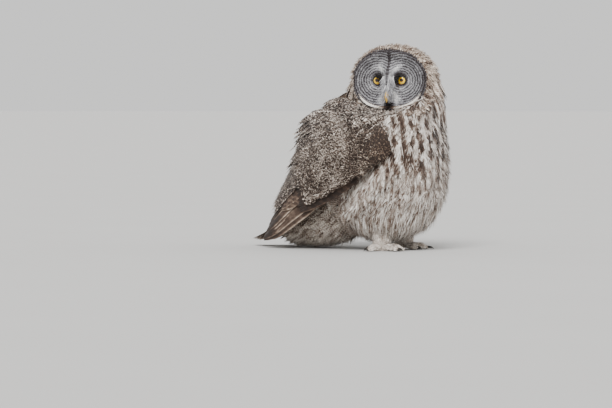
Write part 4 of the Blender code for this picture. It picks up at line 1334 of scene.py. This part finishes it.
def buildRuff():
    # rows of short stiff feathers round the disc: dark on its rim, pale outside it
    coat = Coat("ruffPlumage")
    draw = np.random.default_rng(81)
    for row, (inset, depth, length, tone, count) in enumerate(ruffCoat["rows"]):
        angle = twoPi * (np.arange(count) + draw.uniform(-0.3, 0.3, count)) / count
        left, up, radial, under = discEdge(angle)
        low = bell(np.abs(angle - math.pi), 0.62, 0.42)
        lengths = ruffCoat["length"] * length * draw.uniform(0.8, 1.2, count)
        lengths = lengths * (1 + (0.30 if tone == "pale" else -0.25) * low)
        share = np.linspace(0, 1, 6)
        grow = lengths[:, None] * share
        spreadOut = inset + grow * (0.86 - 0.30 * share) * (1.0 if row < 2 else 0.6)
        base = faceDepth(left, up)[:, None] + depth
        if tone == "pale":
            # the white bow stands a little before the coat below it
            base = base + 0.0045 * low[:, None]
        # below the bill the feathers lie over the throat and don't turn back
        fall = (0.0165 + 0.0025 * row - 0.0155 * under[:, None]) * share**2
        paths = fromHead(left[:, None] + radial[:, :1] * spreadOut,
                         up[:, None] + radial[:, 1:] * spreadOut,
                         base + 0.0040 * np.sin(share * 2.0) - fall)
        # the roots stay on the edge of the disc and the tips ride over the body
        cleared = clearOfBody(paths, 0.0030 - 0.0006 * row + 0.0030 * share[None])
        near = np.linalg.norm(cleared - paths, axis=-1).max(1) < ruffCoat["farthest"]
        if row:
            lifted = near | (row > 1)
            paths = paths + (cleared - paths) * ease(share * 1.5)[None, :, None] * lifted[:, None, None]
        outs = unit(faceAhead * 0.8 + faceLeft * radial[:, :1] * 0.5 + straightUp * radial[:, 1:] * 0.5)
        outs = np.broadcast_to(outs[:, None], paths.shape)
        beard = bell(np.abs(angle - math.pi), 0.0, 0.15)

        # where the body stands far before the disc, the small feathers below fill the step
        near |= row < 2
        size = int(near.sum())
        low, beard = low[near, None, None], beard[near, None, None]

        def pigment(points, across, along):
            tip = ease((along - 0.35) / 0.4)
            if tone == "rim":
                dark = 0.66 - 0.36 * tip + 0 * across
            else:
                plain = 0.16 - 0.08 * tip + 0 * across
                dark = plain if tone == "pale" else crownMarks(points)[0] * 0.9
                whiten = low * (1.0 if tone == "pale" else 0.25)
                dark = dark * (1 - whiten) - 0.06 * whiten
            dark = dark * (1 - beard) + 0.98 * beard
            bars = 0.35 * (1 - low) * (tone == "mottled")
            return dark + draw.normal(0, 0.05, dark.shape[:1] + (1, 1)), bars, 0.45 * (1 - low)

        coat.add(paths[near], outs[near], ruffCoat["width"] * draw.uniform(0.8, 1.2, size),
                 (0.6, 0.9, 1, 0.95, 0.6, 0.12), discUV(left, up)[near], pigment,
                 draw.uniform(0, 1, size), tilt=draw.normal(0.1, 0.2, size))

    def outward(here, out, turn, share):
        _, _, alongShare, _ = chartFrame(ruffChart, turn, share)
        return alongShare

    def ruffMarks(points):
        left, up, _ = toHead(points)
        beard = bell(left, 0, 0.0085) * ease((-0.050 - up) / 0.006)
        dark, bars, warm = crownMarks(points)
        # a white bow on both sides of the beard
        bow = ease((-0.024 - up) / 0.014) * ease((1.15 - discShare(left, up)) / 0.05)
        dark = dark * (1 - bow) * (1 - beard) + 0.95 * beard
        return dark, bars * 0.6 * (1 - bow), warm * (1 - bow)

    for profile, wide, seed in ruffCoat["small"]:
        turn, share = scatter(ruffChart, ruffCoat["smallCount"], (0, 1), (0.02, 0.98), seed)
        layFeathers(coat, ruffChart, (turn, share), outward, ruffCoat["smallLength"], wide, profile,
                    0.0022, freckled(ruffMarks, seed + 5, 0.08), spinUV, seed + 9, rise=-0.0004)
    coat.make(materials["crownFeathers"], "plumage_face")


# Wings: every feather laid between its root and its tip on the folded wing

wingTiers = {
    # count, first root, last root, first tip, last tip, half width, lift
    "primaries": (9, (0.36, 0.08), (0.44, 0.46), (1.00, 0.02), (0.84, 0.56), 0.0145, -0.0040),
    "secondaries": (12, (0.34, 0.24), (0.30, 0.86), (0.66, 0.28), (0.77, 0.82), 0.0160, -0.0010),
    "tertials": (5, (0.28, 0.80), (0.26, 1.00), (0.80, 0.86), (0.70, 1.02), 0.0190, 0.0016),
    "primaryCoverts": (7, (0.20, 0.06), (0.24, 0.34), (0.55, 0.06), (0.52, 0.34), 0.0120, -0.0006),
    "greaterCoverts": (12, (0.24, 0.20), (0.22, 0.86), (0.47, 0.20), (0.51, 0.86), 0.0140, 0.0010),
    "medianCoverts": (13, (0.14, 0.16), (0.12, 0.84), (0.35, 0.16), (0.37, 0.86), 0.0140, 0.0022),
    "upperCoverts": (12, (0.06, 0.18), (0.04, 0.84), (0.24, 0.18), (0.27, 0.86), 0.0130, 0.0026),
    "lesserCoverts": (11, (0.00, 0.24), (0.00, 0.82), (0.15, 0.22), (0.18, 0.84), 0.0125, 0.0020),
    "scapulars": (9, (0.05, 0.80), (0.22, 0.96), (0.36, 0.72), (0.56, 0.98), 0.0170, 0.0060),
    "longScapulars": (7, (0.10, 0.92), (0.16, 1.04), (0.46, 0.92), (0.50, 1.06), 0.0170, 0.0085),
}
wingTufts = (  # share, across, reach along the wing, lift of the tips, number of feathers
    (0.14, 0.97, 0.22, 0.022, 12), (0.22, 0.99, 0.22, 0.024, 10), (0.30, 0.98, 0.20, 0.018, 8),
    (0.20, 0.84, 0.22, 0.014, 12), (0.30, 0.74, 0.22, 0.010, 10), (0.40, 0.90, 0.20, 0.012, 8),
)
wingTones = {  # darkness, bars, warmth, edge paleness
    "primaries": (0.80, 0.16, 0.55, 0.62), "secondaries": (0.66, 0.42, 0.60, 0.30),
    "tertials": (0.50, 0.85, 0.30, 0.16), "primaryCoverts": (0.76, 0.30, 0.55, 0.40),
    "greaterCoverts": (0.62, 0.85, 0.50, 0.20), "medianCoverts": (0.60, 0.95, 0.45, 0.12),
    "upperCoverts": (0.56, 1.05, 0.30, 0.08), "lesserCoverts": (0.62, 0.85, 0.40, 0.05),
    "scapulars": (0.50, 1.15, 0.20, 0.10), "longScapulars": (0.50, 1.15, 0.15, 0.10),
}
flightProfile = (0.35, 0.62, 0.84, 0.95, 1.0, 1.0, 0.99, 0.97, 0.93, 0.86, 0.72, 0.50, 0.16)
covertProfile = (0.40, 0.72, 0.92, 1.0, 1.0, 0.96, 0.86, 0.64, 0.20)


shoulderCoat = {  # count, length, half width, profile, lift, seed, rise, shares along and across
    "feathers": (1500, 0.024, 0.0050, leafProfile, 0.0045, 201, 0.0030, (0.0, 0.42), (0.10, 1.0)),
    "wisps": (2600, 0.020, 0.0010, strandProfile, 0.0070, 202, 0.0040, (0.0, 0.42), (0.10, 1.0)),
    "lowerFeathers": (420, 0.036, 0.0060, (0.5, 0.9, 1.0, 0.92, 0.7, 0.12), 0.0040, 203, 0.0030,
                      (0.36, 0.66), (0.40, 1.0)),
    "lowerWisps": (700, 0.030, 0.0011, strandProfile, 0.0060, 204, 0.0034, (0.36, 0.70), (0.36, 1.0)),
}
looseSpread = 0.22  # how much the loose feathers of the wing differ in darkness
longQuills = ("primaries", "secondaries", "primaryCoverts")


def wingTone(tier, side):
    dark, bars, warm, edge = wingTones[tier]
    # the long quills keep one tone, the small feathers lie in rows
    small = tier not in longQuills

    def pigment(points, across, along):
        _, y, z = np.moveaxis(points, -1, 0)
        cloud = latticeNoise(y / 0.011, z / 0.010, 17 + side)
        patch = latticeNoise(y / 0.028, z / 0.024, 19 + side)
        value = dark + 0.20 + 0.36 * (cloud - 0.5) + 0.70 * (patch - 0.5)
        # rows of paler tips follow each other from the wrist to the tip
        reach = 0.8 * (y + 0.08) + 0.6 * (0.25 - z)
        value = value + 0.17 * np.sin(twoPi * reach / 0.052 + 5 * (patch - 0.5)) * small
        # browner towards the wrist, whiter over the shoulder
        wristward = ease((0.05 - y) / 0.13)
        value = value + 0.10 * wristward - 0.10 * ease((z - 0.20) / 0.06) * ease(y / 0.05)
        value = value - edge * ease((np.abs(across) - 0.72) / 0.2)
        if small:
            # a dark middle and a band before the pale tip
            value = value + 0.16 * bell(across, 0, 0.45) + 0.20 * bell(along, 0.72, 0.13)
            value = value - 0.42 * ease((along - 0.84) / 0.10)
            value = value - 0.10 * ease((np.abs(across) - 0.5) / 0.4)
        else:
            value = value + 0.12 * ease((along - 0.8) / 0.2)
        return np.clip(value, 0.02, 1), bars, warm + 0.3 * wristward
    return pigment


def buildWing(side):
    word = sideWord(side)
    chart = wingChart(side)
    flight, coverts = Coat(f"flightFeathers_{word}"), Coat(f"coverts_{word}")
    for order, (tier, (count, rootA, rootB, tipA, tipB, half, lift)) in enumerate(wingTiers.items()):
        draw = np.random.default_rng(100 + order + (20 if side > 0 else 0))
        step = np.linspace(0, 1, count)
        wobble = draw.uniform(-1, 1, (count, 4)) * (0.006, 0.010, 0.014, 0.016)
        root = np.outer(1 - step, rootA) + np.outer(step, rootB) + wobble[:, :2]
        tip = np.outer(1 - step, tipA) + np.outer(step, tipB) + wobble[:, 2:]
        isFlight = tier in (*longQuills, "tertials")
        profile = flightProfile if isFlight else covertProfile
        rows = len(profile)
        share = np.linspace(0, 1, rows)
        at = root[:, None] + (tip - root)[:, None] * share[None, :, None]
        place, _, _, out = chartFrame(chart, at[..., 0], at[..., 1], side)
        # each feather lies a little above the one before it and its tip stands a little free
        level = np.broadcast_to(lift - 0.0030 * (1 - share) ** 2 + 0.0022 * share**3, (count, rows))
        level = level + draw.uniform(-0.0004, 0.0004, (count, 1))
        paths = place + out * level[..., None]
        width = half * draw.uniform(0.92, 1.08, count)
        coat = flight if isFlight else coverts
        slope = 0.13 if isFlight else 0.10
        coat.add(paths, out, width, profile, wingUV(at[:, 2, 0], at[:, 2, 1]), wingTone(tier, side),
                 draw.uniform(0, 1, count), camber=0.10, across=7,
                 tilt=side * slope + draw.normal(0, 0.03, count))
    flight.make(materials["flightFeathers"], "plumage_wing")
    coverts.make(materials["wingFeathers"], "plumage_wing")

    # bunches of long shoulder feathers whose tips stand free behind
    tufts = Coat(f"shoulderTufts_{word}")
    draw = np.random.default_rng(150 + side)
    for share, across, reach, high, count in wingTufts:
        base = np.array([share, across]) + draw.normal(0, 1, (count, 2)) * (0.020, 0.035)
        steps = np.linspace(0, 1, 8)
        at = base[:, None] + np.array([reach, 0.0])[None, None] * steps[None, :, None]
        at[..., 1] += 0.05 * draw.normal(0, 1, (count, 1)) * steps
        place, _, _, out = chartFrame(chart, at[..., 0], np.clip(at[..., 1], 0.3, 1.05), side)
        free = high * draw.uniform(0.35, 1.0, (count, 1)) * steps**1.8 + 0.0050
        paths = place + out * free[..., None] + straightUp * (0.010 * steps**2)[:, None]
        tufts.add(paths, out, draw.uniform(0.0035, 0.0070, count),
                  (0.5, 0.8, 1.0, 1.0, 0.9, 0.7, 0.42, 0.08), wingUV(at[:, 2, 0], at[:, 2, 1]),
                  shaken(wingTone("longScapulars", side), 160 + side, looseSpread),
                  draw.uniform(0, 1, count), across=5, tilt=draw.normal(0, 0.3, count))
    tufts.make(materials["wingFeathers"], "plumage_wing")

    # small loose feathers over the shoulder and the upper coverts
    coat = Coat(f"shoulderPlumage_{word}")

    def lie(here, out, u, v):
        _, alongU, alongV, _ = chartFrame(chart, u, v, side)
        return unit(alongU) + unit(alongV) * 0.12

    for count, length, width, profile, lift, seed, rise, along, across in shoulderCoat.values():
        u, v = scatter(chart, count, along, across, seed + side)
        # the wrist is tucked into the feathers of the breast
        tucked = rise - 0.009 * ease((0.13 - u) / 0.13)
        layFeathers(coat, chart, (u, v), lie, length, width, profile, lift,
                    shaken(wingTone("upperCoverts", side), seed, looseSpread), wingUV, seed + 10 + side,
                    flip=side, rise=tucked, jitter=0.3)
    coat.make(materials["wingFeathers"], "plumage_wing")


# Tail

tailShape = {"pairs": 6, "width": 0.021, "step": 0.0088, "levelStep": 0.00125, "tipStep": 0.011,
             "root": 0.135, "tip": 0.366}


tailCoat = {  # line, count, length, half width, lift, seed
    "rump": (rumpLine, 800, 0.034, 0.0070, 0.004, 311),
    "vent": (ventLine, 1900, 0.034, 0.0048, 0.013, 312),
}


def tailTop(y):
    rows = np.array(tailLine)
    return through(rows[:, 0], rows[:, 1:], y)[..., 0]


def buildTail():
    coat = Coat("tailFeathers")
    share = np.linspace(0, 1, len(flightProfile))
    for pair in range(tailShape["pairs"]):
        for side in (-1, 1):
            level = 2 * pair + (1 if side > 0 else 0)
            draw = np.random.default_rng(300 + level)
            tip = tailShape["tip"] - tailShape["tipStep"] * pair + draw.uniform(-0.002, 0.002)
            y = tailShape["root"] + (tip - tailShape["root"]) * share
            x = side * (0.004 + tailShape["step"] * pair) * (0.55 + 0.45 * ease(share))
            z = tailTop(y) - tailShape["levelStep"] * level - 0.012 * np.abs(x) / 0.06
            paths = np.stack([x, y, np.maximum(z, 0.0016)], -1)[None]
            outs = np.broadcast_to(straightUp, paths.shape)

            def pigment(points, across, along):
                band = 0.25 * np.sin(along * 34 + np.abs(across) * 1.5 + level)
                value = 0.60 + band - 0.30 * ease((np.abs(across) - 0.8) / 0.15)
                return np.clip(value, 0.05, 1), 0.45 + 0 * across, 0.5

            coat.add(paths, outs, [tailShape["width"]], flightProfile, [[0.5 + side * 0.06 * pair, 0.6]],
                     pigment, [draw.uniform()], camber=0.07, across=9)
    coat.make(materials["flightFeathers"], "plumage_tail")

    coat = Coat("tailCoverts")

    for line, count, length, width, lift, seed in tailCoat.values():
        chart = coneChart(line)
        first, last = line[0][0], line[-1][0]
        for number, (size, half, profile, high) in enumerate((
                (1.0, width, leafProfile, lift), (0.9, 0.0012, strandProfile, lift * 1.4))):
            u, v = scatter(chart, count, (0, 1), (first, last - 0.02), seed + 5 * number)
            layFeathers(coat, chart, (u, v), steady((0, 0.9, -0.38)), length * size, half, profile, high,
                        freckled(bodyMarks, seed + 1, 0.17), stretchedUV(first, last), seed + 2 + number,
                        rise=-0.002, jitter=0.45)
    coat.make(materials["bodyFeathers"], "plumage_tail")


# Legs and feet

legCoat = {
    "count": 850, "toeCount": 170,
    # length, half width, profile, lift, seed of the roots, seed of the marks, rise, spread of sizes
    "leg": ((0.014, 0.0024, leafProfile, 0.0028, 401, 402, -0.001, 0.25),
            (0.013, 0.0007, strandProfile, 0.0045, 411, 404, 0.0, 0.4)),
    # length, half width, profile, seed
    "toe": ((0.0098, 0.0019, leafProfile, 420), (0.0090, 0.0006, strandProfile, 430)),
}


def buildLegs():
    def legMarks(points):
        x, y, z = np.moveaxis(points, -1, 0)
        spots = latticeNoise(x / 0.007 + y / 0.007, z / 0.006, 23)
        return 0.24 + 0.34 * (spots - 0.5), 0.35, 0.2

    for side in (-1, 1):
        coat = Coat(f"legDown_{sideWord(side)}")
        chart = legChart(side)
        for length, width, profile, lift, rootSeed, seed, rise, jitter in legCoat["leg"]:
            u, v = scatter(chart, legCoat["count"], (0, 1), (0.006, 0.098), rootSeed + side)
            layFeathers(coat, chart, (u, v), steady((0, 0, -1)), length, width, profile, lift,
                        freckled(legMarks, seed), stretchedUV(0, 0.11), seed + 1 + side, rise=rise,
                        jitter=jitter)
        for number, (turnAway, length) in enumerate(footSettings["toes"].values()):
            toe = toeChart(side, turnAway, length)
            angle = math.radians(turnAway)
            ahead = np.array([side * math.sin(angle), -math.cos(angle), -0.15])
            for size, half, profile, seed in legCoat["toe"]:
                u, v = scatter(toe, legCoat["toeCount"], (-0.30, 0.30), (0.0, 0.97), seed + number)
                layFeathers(coat, toe, (u, v), steady(ahead), size, half, profile, 0.0016,
                            freckled(legMarks, 406), spinUV, seed + 20 + number + side,
                            flip=-1, rise=-0.0004)
        coat.make(materials["legDown"], "leg_feathers")


# Eyes, bill and claws

eyeShape = {"segments": 64, "rings": 48, "outward": 0.10, "upward": 0.02, "bulge": 0.075,
            "bulgeSpread": 0.55, "irisReach": 0.80, "spokeSize": 1.6}


def eyeCentre(side):
    return fromHead(np.array(side * headShape["eyeOffset"]), np.array(0.0),
                    np.array(headShape["eyeDepth"]))


def buildEye(side):
    word = sideWord(side)
    radius = headShape["eyeRadius"]
    bpy.ops.object.select_all(action="DESELECT")
    bpy.ops.mesh.primitive_uv_sphere_add(segments=eyeShape["segments"], ring_count=eyeShape["rings"],
                                         radius=radius, location=(0, 0, 0))
    eye = bpy.context.active_object
    eye.name = eye.data.name = f"eyeball_{word}"
    # the ball's pole looks ahead, a little outwards from the bill
    look = unit(faceAhead + faceLeft * side * eyeShape["outward"] + straightUp * eyeShape["upward"])
    aside = unit(np.cross(straightUp, look))
    upward = np.cross(look, aside)
    mesh = eye.data
    points = pointsOf(mesh)
    away = np.arccos(np.clip(points[:, 2] / radius, -1, 1))
    # the cornea stands proud of the ball
    bulge = 1 + eyeShape["bulge"] * np.exp(-((away / eyeShape["bulgeSpread"]) ** 2))
    spoke, size = np.arctan2(points[:, 1], points[:, 0]), eyeShape["spokeSize"]
    place = np.stack([np.clip(away / eyeShape["irisReach"], 0, 1), size * np.cos(spoke),
                      size * np.sin(spoke)], -1)
    points = (aside * points[:, :1] + upward * points[:, 1:2] + look * points[:, 2:]) * bulge[:, None]
    points = points + eyeCentre(side)
    points[:, 1] += shiftY
    mesh.vertices.foreach_set("co", points.ravel())
    keepMarks(mesh, "irisPlace", place)
    mesh.materials.append(materials["wetEye"])
    bpy.ops.object.shade_smooth()
    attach(eye, "root")
    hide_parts(f"eye_{word}")


def buildLids(side):
    # a dark rim round the eye; the upper lid hangs a little over it
    rings = []
    sides = 12
    for a in np.linspace(0, twoPi, 64, endpoint=False):
        radial = faceLeft * math.sin(a) + straightUp * math.cos(a)
        brow = max(0.0, math.cos(a)) ** 2
        middle = fromHead(np.array(side * headShape["eyeOffset"]), np.array(0.0),
                          np.array(lidShape["depth"] + 0.0012 * brow))
        middle = middle + radial * (lidShape["radius"] - 0.0017 * brow)
        b = np.linspace(0, twoPi, sides, endpoint=False)[:, None]
        thick = lidShape["thickness"] * (1 + 0.5 * brow)
        rings.append(middle + thick * (radial * np.cos(b) + faceAhead * np.sin(b)))
    rings = np.array(rings)
    count = len(rings)
    points = rings.reshape(-1, 3)
    points[:, 1] += shiftY
    faces = [(i * sides + j, i * sides + (j + 1) % sides,
              (i + 1) % count * sides + (j + 1) % sides, (i + 1) % count * sides + j)
             for i in range(count) for j in range(sides)]
    word = sideWord(side)
    dress(pieceFrom(f"lids_{word}", points, faces), materials["lidSkin"], "plumage_face")


billRows = {  # up, ahead, half width, half height
    "upper": ((-0.016, 0.050, 0.0062, 0.0080), (-0.024, 0.058, 0.0060, 0.0066),
              (-0.033, 0.0625, 0.0048, 0.0050), (-0.042, 0.0630, 0.0030, 0.0030),
              (-0.049, 0.0605, 0.0006, 0.0006)),
    "lower": ((-0.024, 0.046, 0.0050, 0.0040), (-0.034, 0.0535, 0.0046, 0.0034),
              (-0.041, 0.0560, 0.0030, 0.0022), (-0.045, 0.0560, 0.0006, 0.0006)),
}


def buildHorn(name, node, rows, material, slot):
    # a smooth tapering horn through rows of middle and size, its ring across its own line
    rows = np.array(rows)
    share = np.linspace(0, 1, len(rows))
    fine = through(share, rows, np.linspace(0, 1, 22))
    middle = fromHead(np.zeros(22), fine[:, 0], fine[:, 1])
    ahead = unit(np.gradient(middle, axis=0))
    out = unit(np.cross(ahead, faceLeft))
    a = np.linspace(0, twoPi, 24, endpoint=False)
    wide, tall = np.maximum(fine[:, 2:4], 0.0004).T[..., None]
    rings = (middle[:, None] + faceLeft * (wide * np.sin(a))[..., None]
             + out[:, None] * (tall * np.cos(a))[..., None])
    dress(gridMesh(name, rings + np.array([0, shiftY, 0])), material, slot, node)


def buildClaw(side, toe, turnAway, length):
    word = sideWord(side)
    angle = math.radians(turnAway)
    ahead = np.array([side * math.sin(angle), -math.cos(angle), 0])
    aside = np.array([-ahead[1], ahead[0], 0])
    foot = np.array([side * footSettings["spread"], footSettings["y"], footSettings["clawHeight"]])
    root = foot + ahead * length
    arc = footSettings["clawArc"]
    bendRadius = footSettings["clawLength"] / arc
    share = np.linspace(-0.12, 1, 18)
    bend = arc * share
    rise = 0.0014 * np.sin(math.pi * np.maximum(share, 0))
    drop = bendRadius * (1 - np.cos(bend)) * 0.26
    middle = root + ahead * (bendRadius * np.sin(bend) * 0.9)[:, None]
    middle = middle + straightUp * (rise - drop)[:, None]
    radius = np.maximum(footSettings["clawRadius"] * np.clip(1 - share, 0, 1) ** 0.7, 0.0003)
    a = np.linspace(0, twoPi, 16, endpoint=False)
    rings = (middle[:, None] + aside * (radius[:, None] * 0.85 * np.sin(a))[..., None]
             + straightUp * (radius[:, None] * np.cos(a))[..., None])
    rings[..., 2] = np.maximum(rings[..., 2], 0.0004)
    dress(gridMesh(f"talon_{word}_{toe}", rings + np.array([0, shiftY, 0])), materials["clawHorn"],
          "claw", f"claw_{word}_{toe}")


buildBody()
buildMantle()
buildCrown()
buildFace()
buildRuff()
for side in (-1, 1):
    buildWing(side)
buildTail()
buildLegs()
for side in (-1, 1):
    buildEye(side)
    buildLids(side)
    for toe, (turnAway, length) in footSettings["toes"].items():
        buildClaw(side, toe, turnAway, length)
buildHorn("billUpper", "bill_upper", billRows["upper"], materials["billHorn"], "bill")
buildHorn("billLower", "bill_lower", billRows["lower"], materials["billHorn"], "bill")
print("owl dressed")


# Floor, light and camera

studio = {
    "floor": "#BCBBB9", "floorPatches": "#B8B7B5", "sky": "#EBEBEA", "skyStrength": 1.15,
    "lights": {  # towards the light, its spread in degrees, its strength
        "keyLight": ((-0.75, -0.35, 0.85), 30, 4.2),
        "fillLight": ((0.5, -0.8, 0.5), 70, 0.8),
    },
    "aim": (-0.105, 0.033, 0.101), "away": 6.0, "azimuth": -55, "elevation": 2, "lens": 160,
}


def buildStudio():
    bpy.ops.object.select_all(action="DESELECT")
    bpy.ops.mesh.primitive_plane_add(size=600, location=(0, 0, 0))
    floor = bpy.context.active_object
    floor.name = "floor"
    paint, tree = freshTree("matteFloorPaint")  # pale matte paint, faintly uneven
    where = addNode(tree, "ShaderNodeTexCoord").outputs["Object"]
    tint = addNode(tree, "ShaderNodeMix", {"data_type": "RGBA"}, {
        0: noise(tree, where, 3.0, 2.0), 6: hexColour(studio["floorPatches"]),
        7: hexColour(studio["floor"])}).outputs[2]
    surface(tree, {"Base Color": tint, "Roughness": 0.9})
    floor.data.materials.append(paint)

    world = bpy.data.worlds.new("softSky")
    world.use_nodes = True
    back = world.node_tree.nodes["Background"]
    back.inputs["Color"].default_value = hexColour(studio["sky"])
    back.inputs["Strength"].default_value = studio["skyStrength"]
    bpy.context.scene.world = world
    for name, (way, spread, power) in studio["lights"].items():
        bpy.ops.object.light_add(type="SUN", location=(0, 0, 3))
        light = bpy.context.active_object
        light.name = name
        light.data.angle = math.radians(spread)
        light.data.energy = power
        light.rotation_euler = Vector(way).to_track_quat("Z", "Y").to_euler()

    azimuth, elevation = math.radians(studio["azimuth"]), math.radians(studio["elevation"])
    way = Vector((math.sin(azimuth) * math.cos(elevation), -math.cos(azimuth) * math.cos(elevation),
                  math.sin(elevation)))
    lens = bpy.data.cameras.new("photoCamera")
    lens.lens = studio["lens"]
    camera = bpy.data.objects.new("photoCamera", lens)
    bpy.context.scene.collection.objects.link(camera)
    camera.location = Vector(studio["aim"]) + way * studio["away"]
    camera.rotation_euler = (-way).to_track_quat("-Z", "Y").to_euler()
    bpy.context.scene.camera = camera


buildStudio()
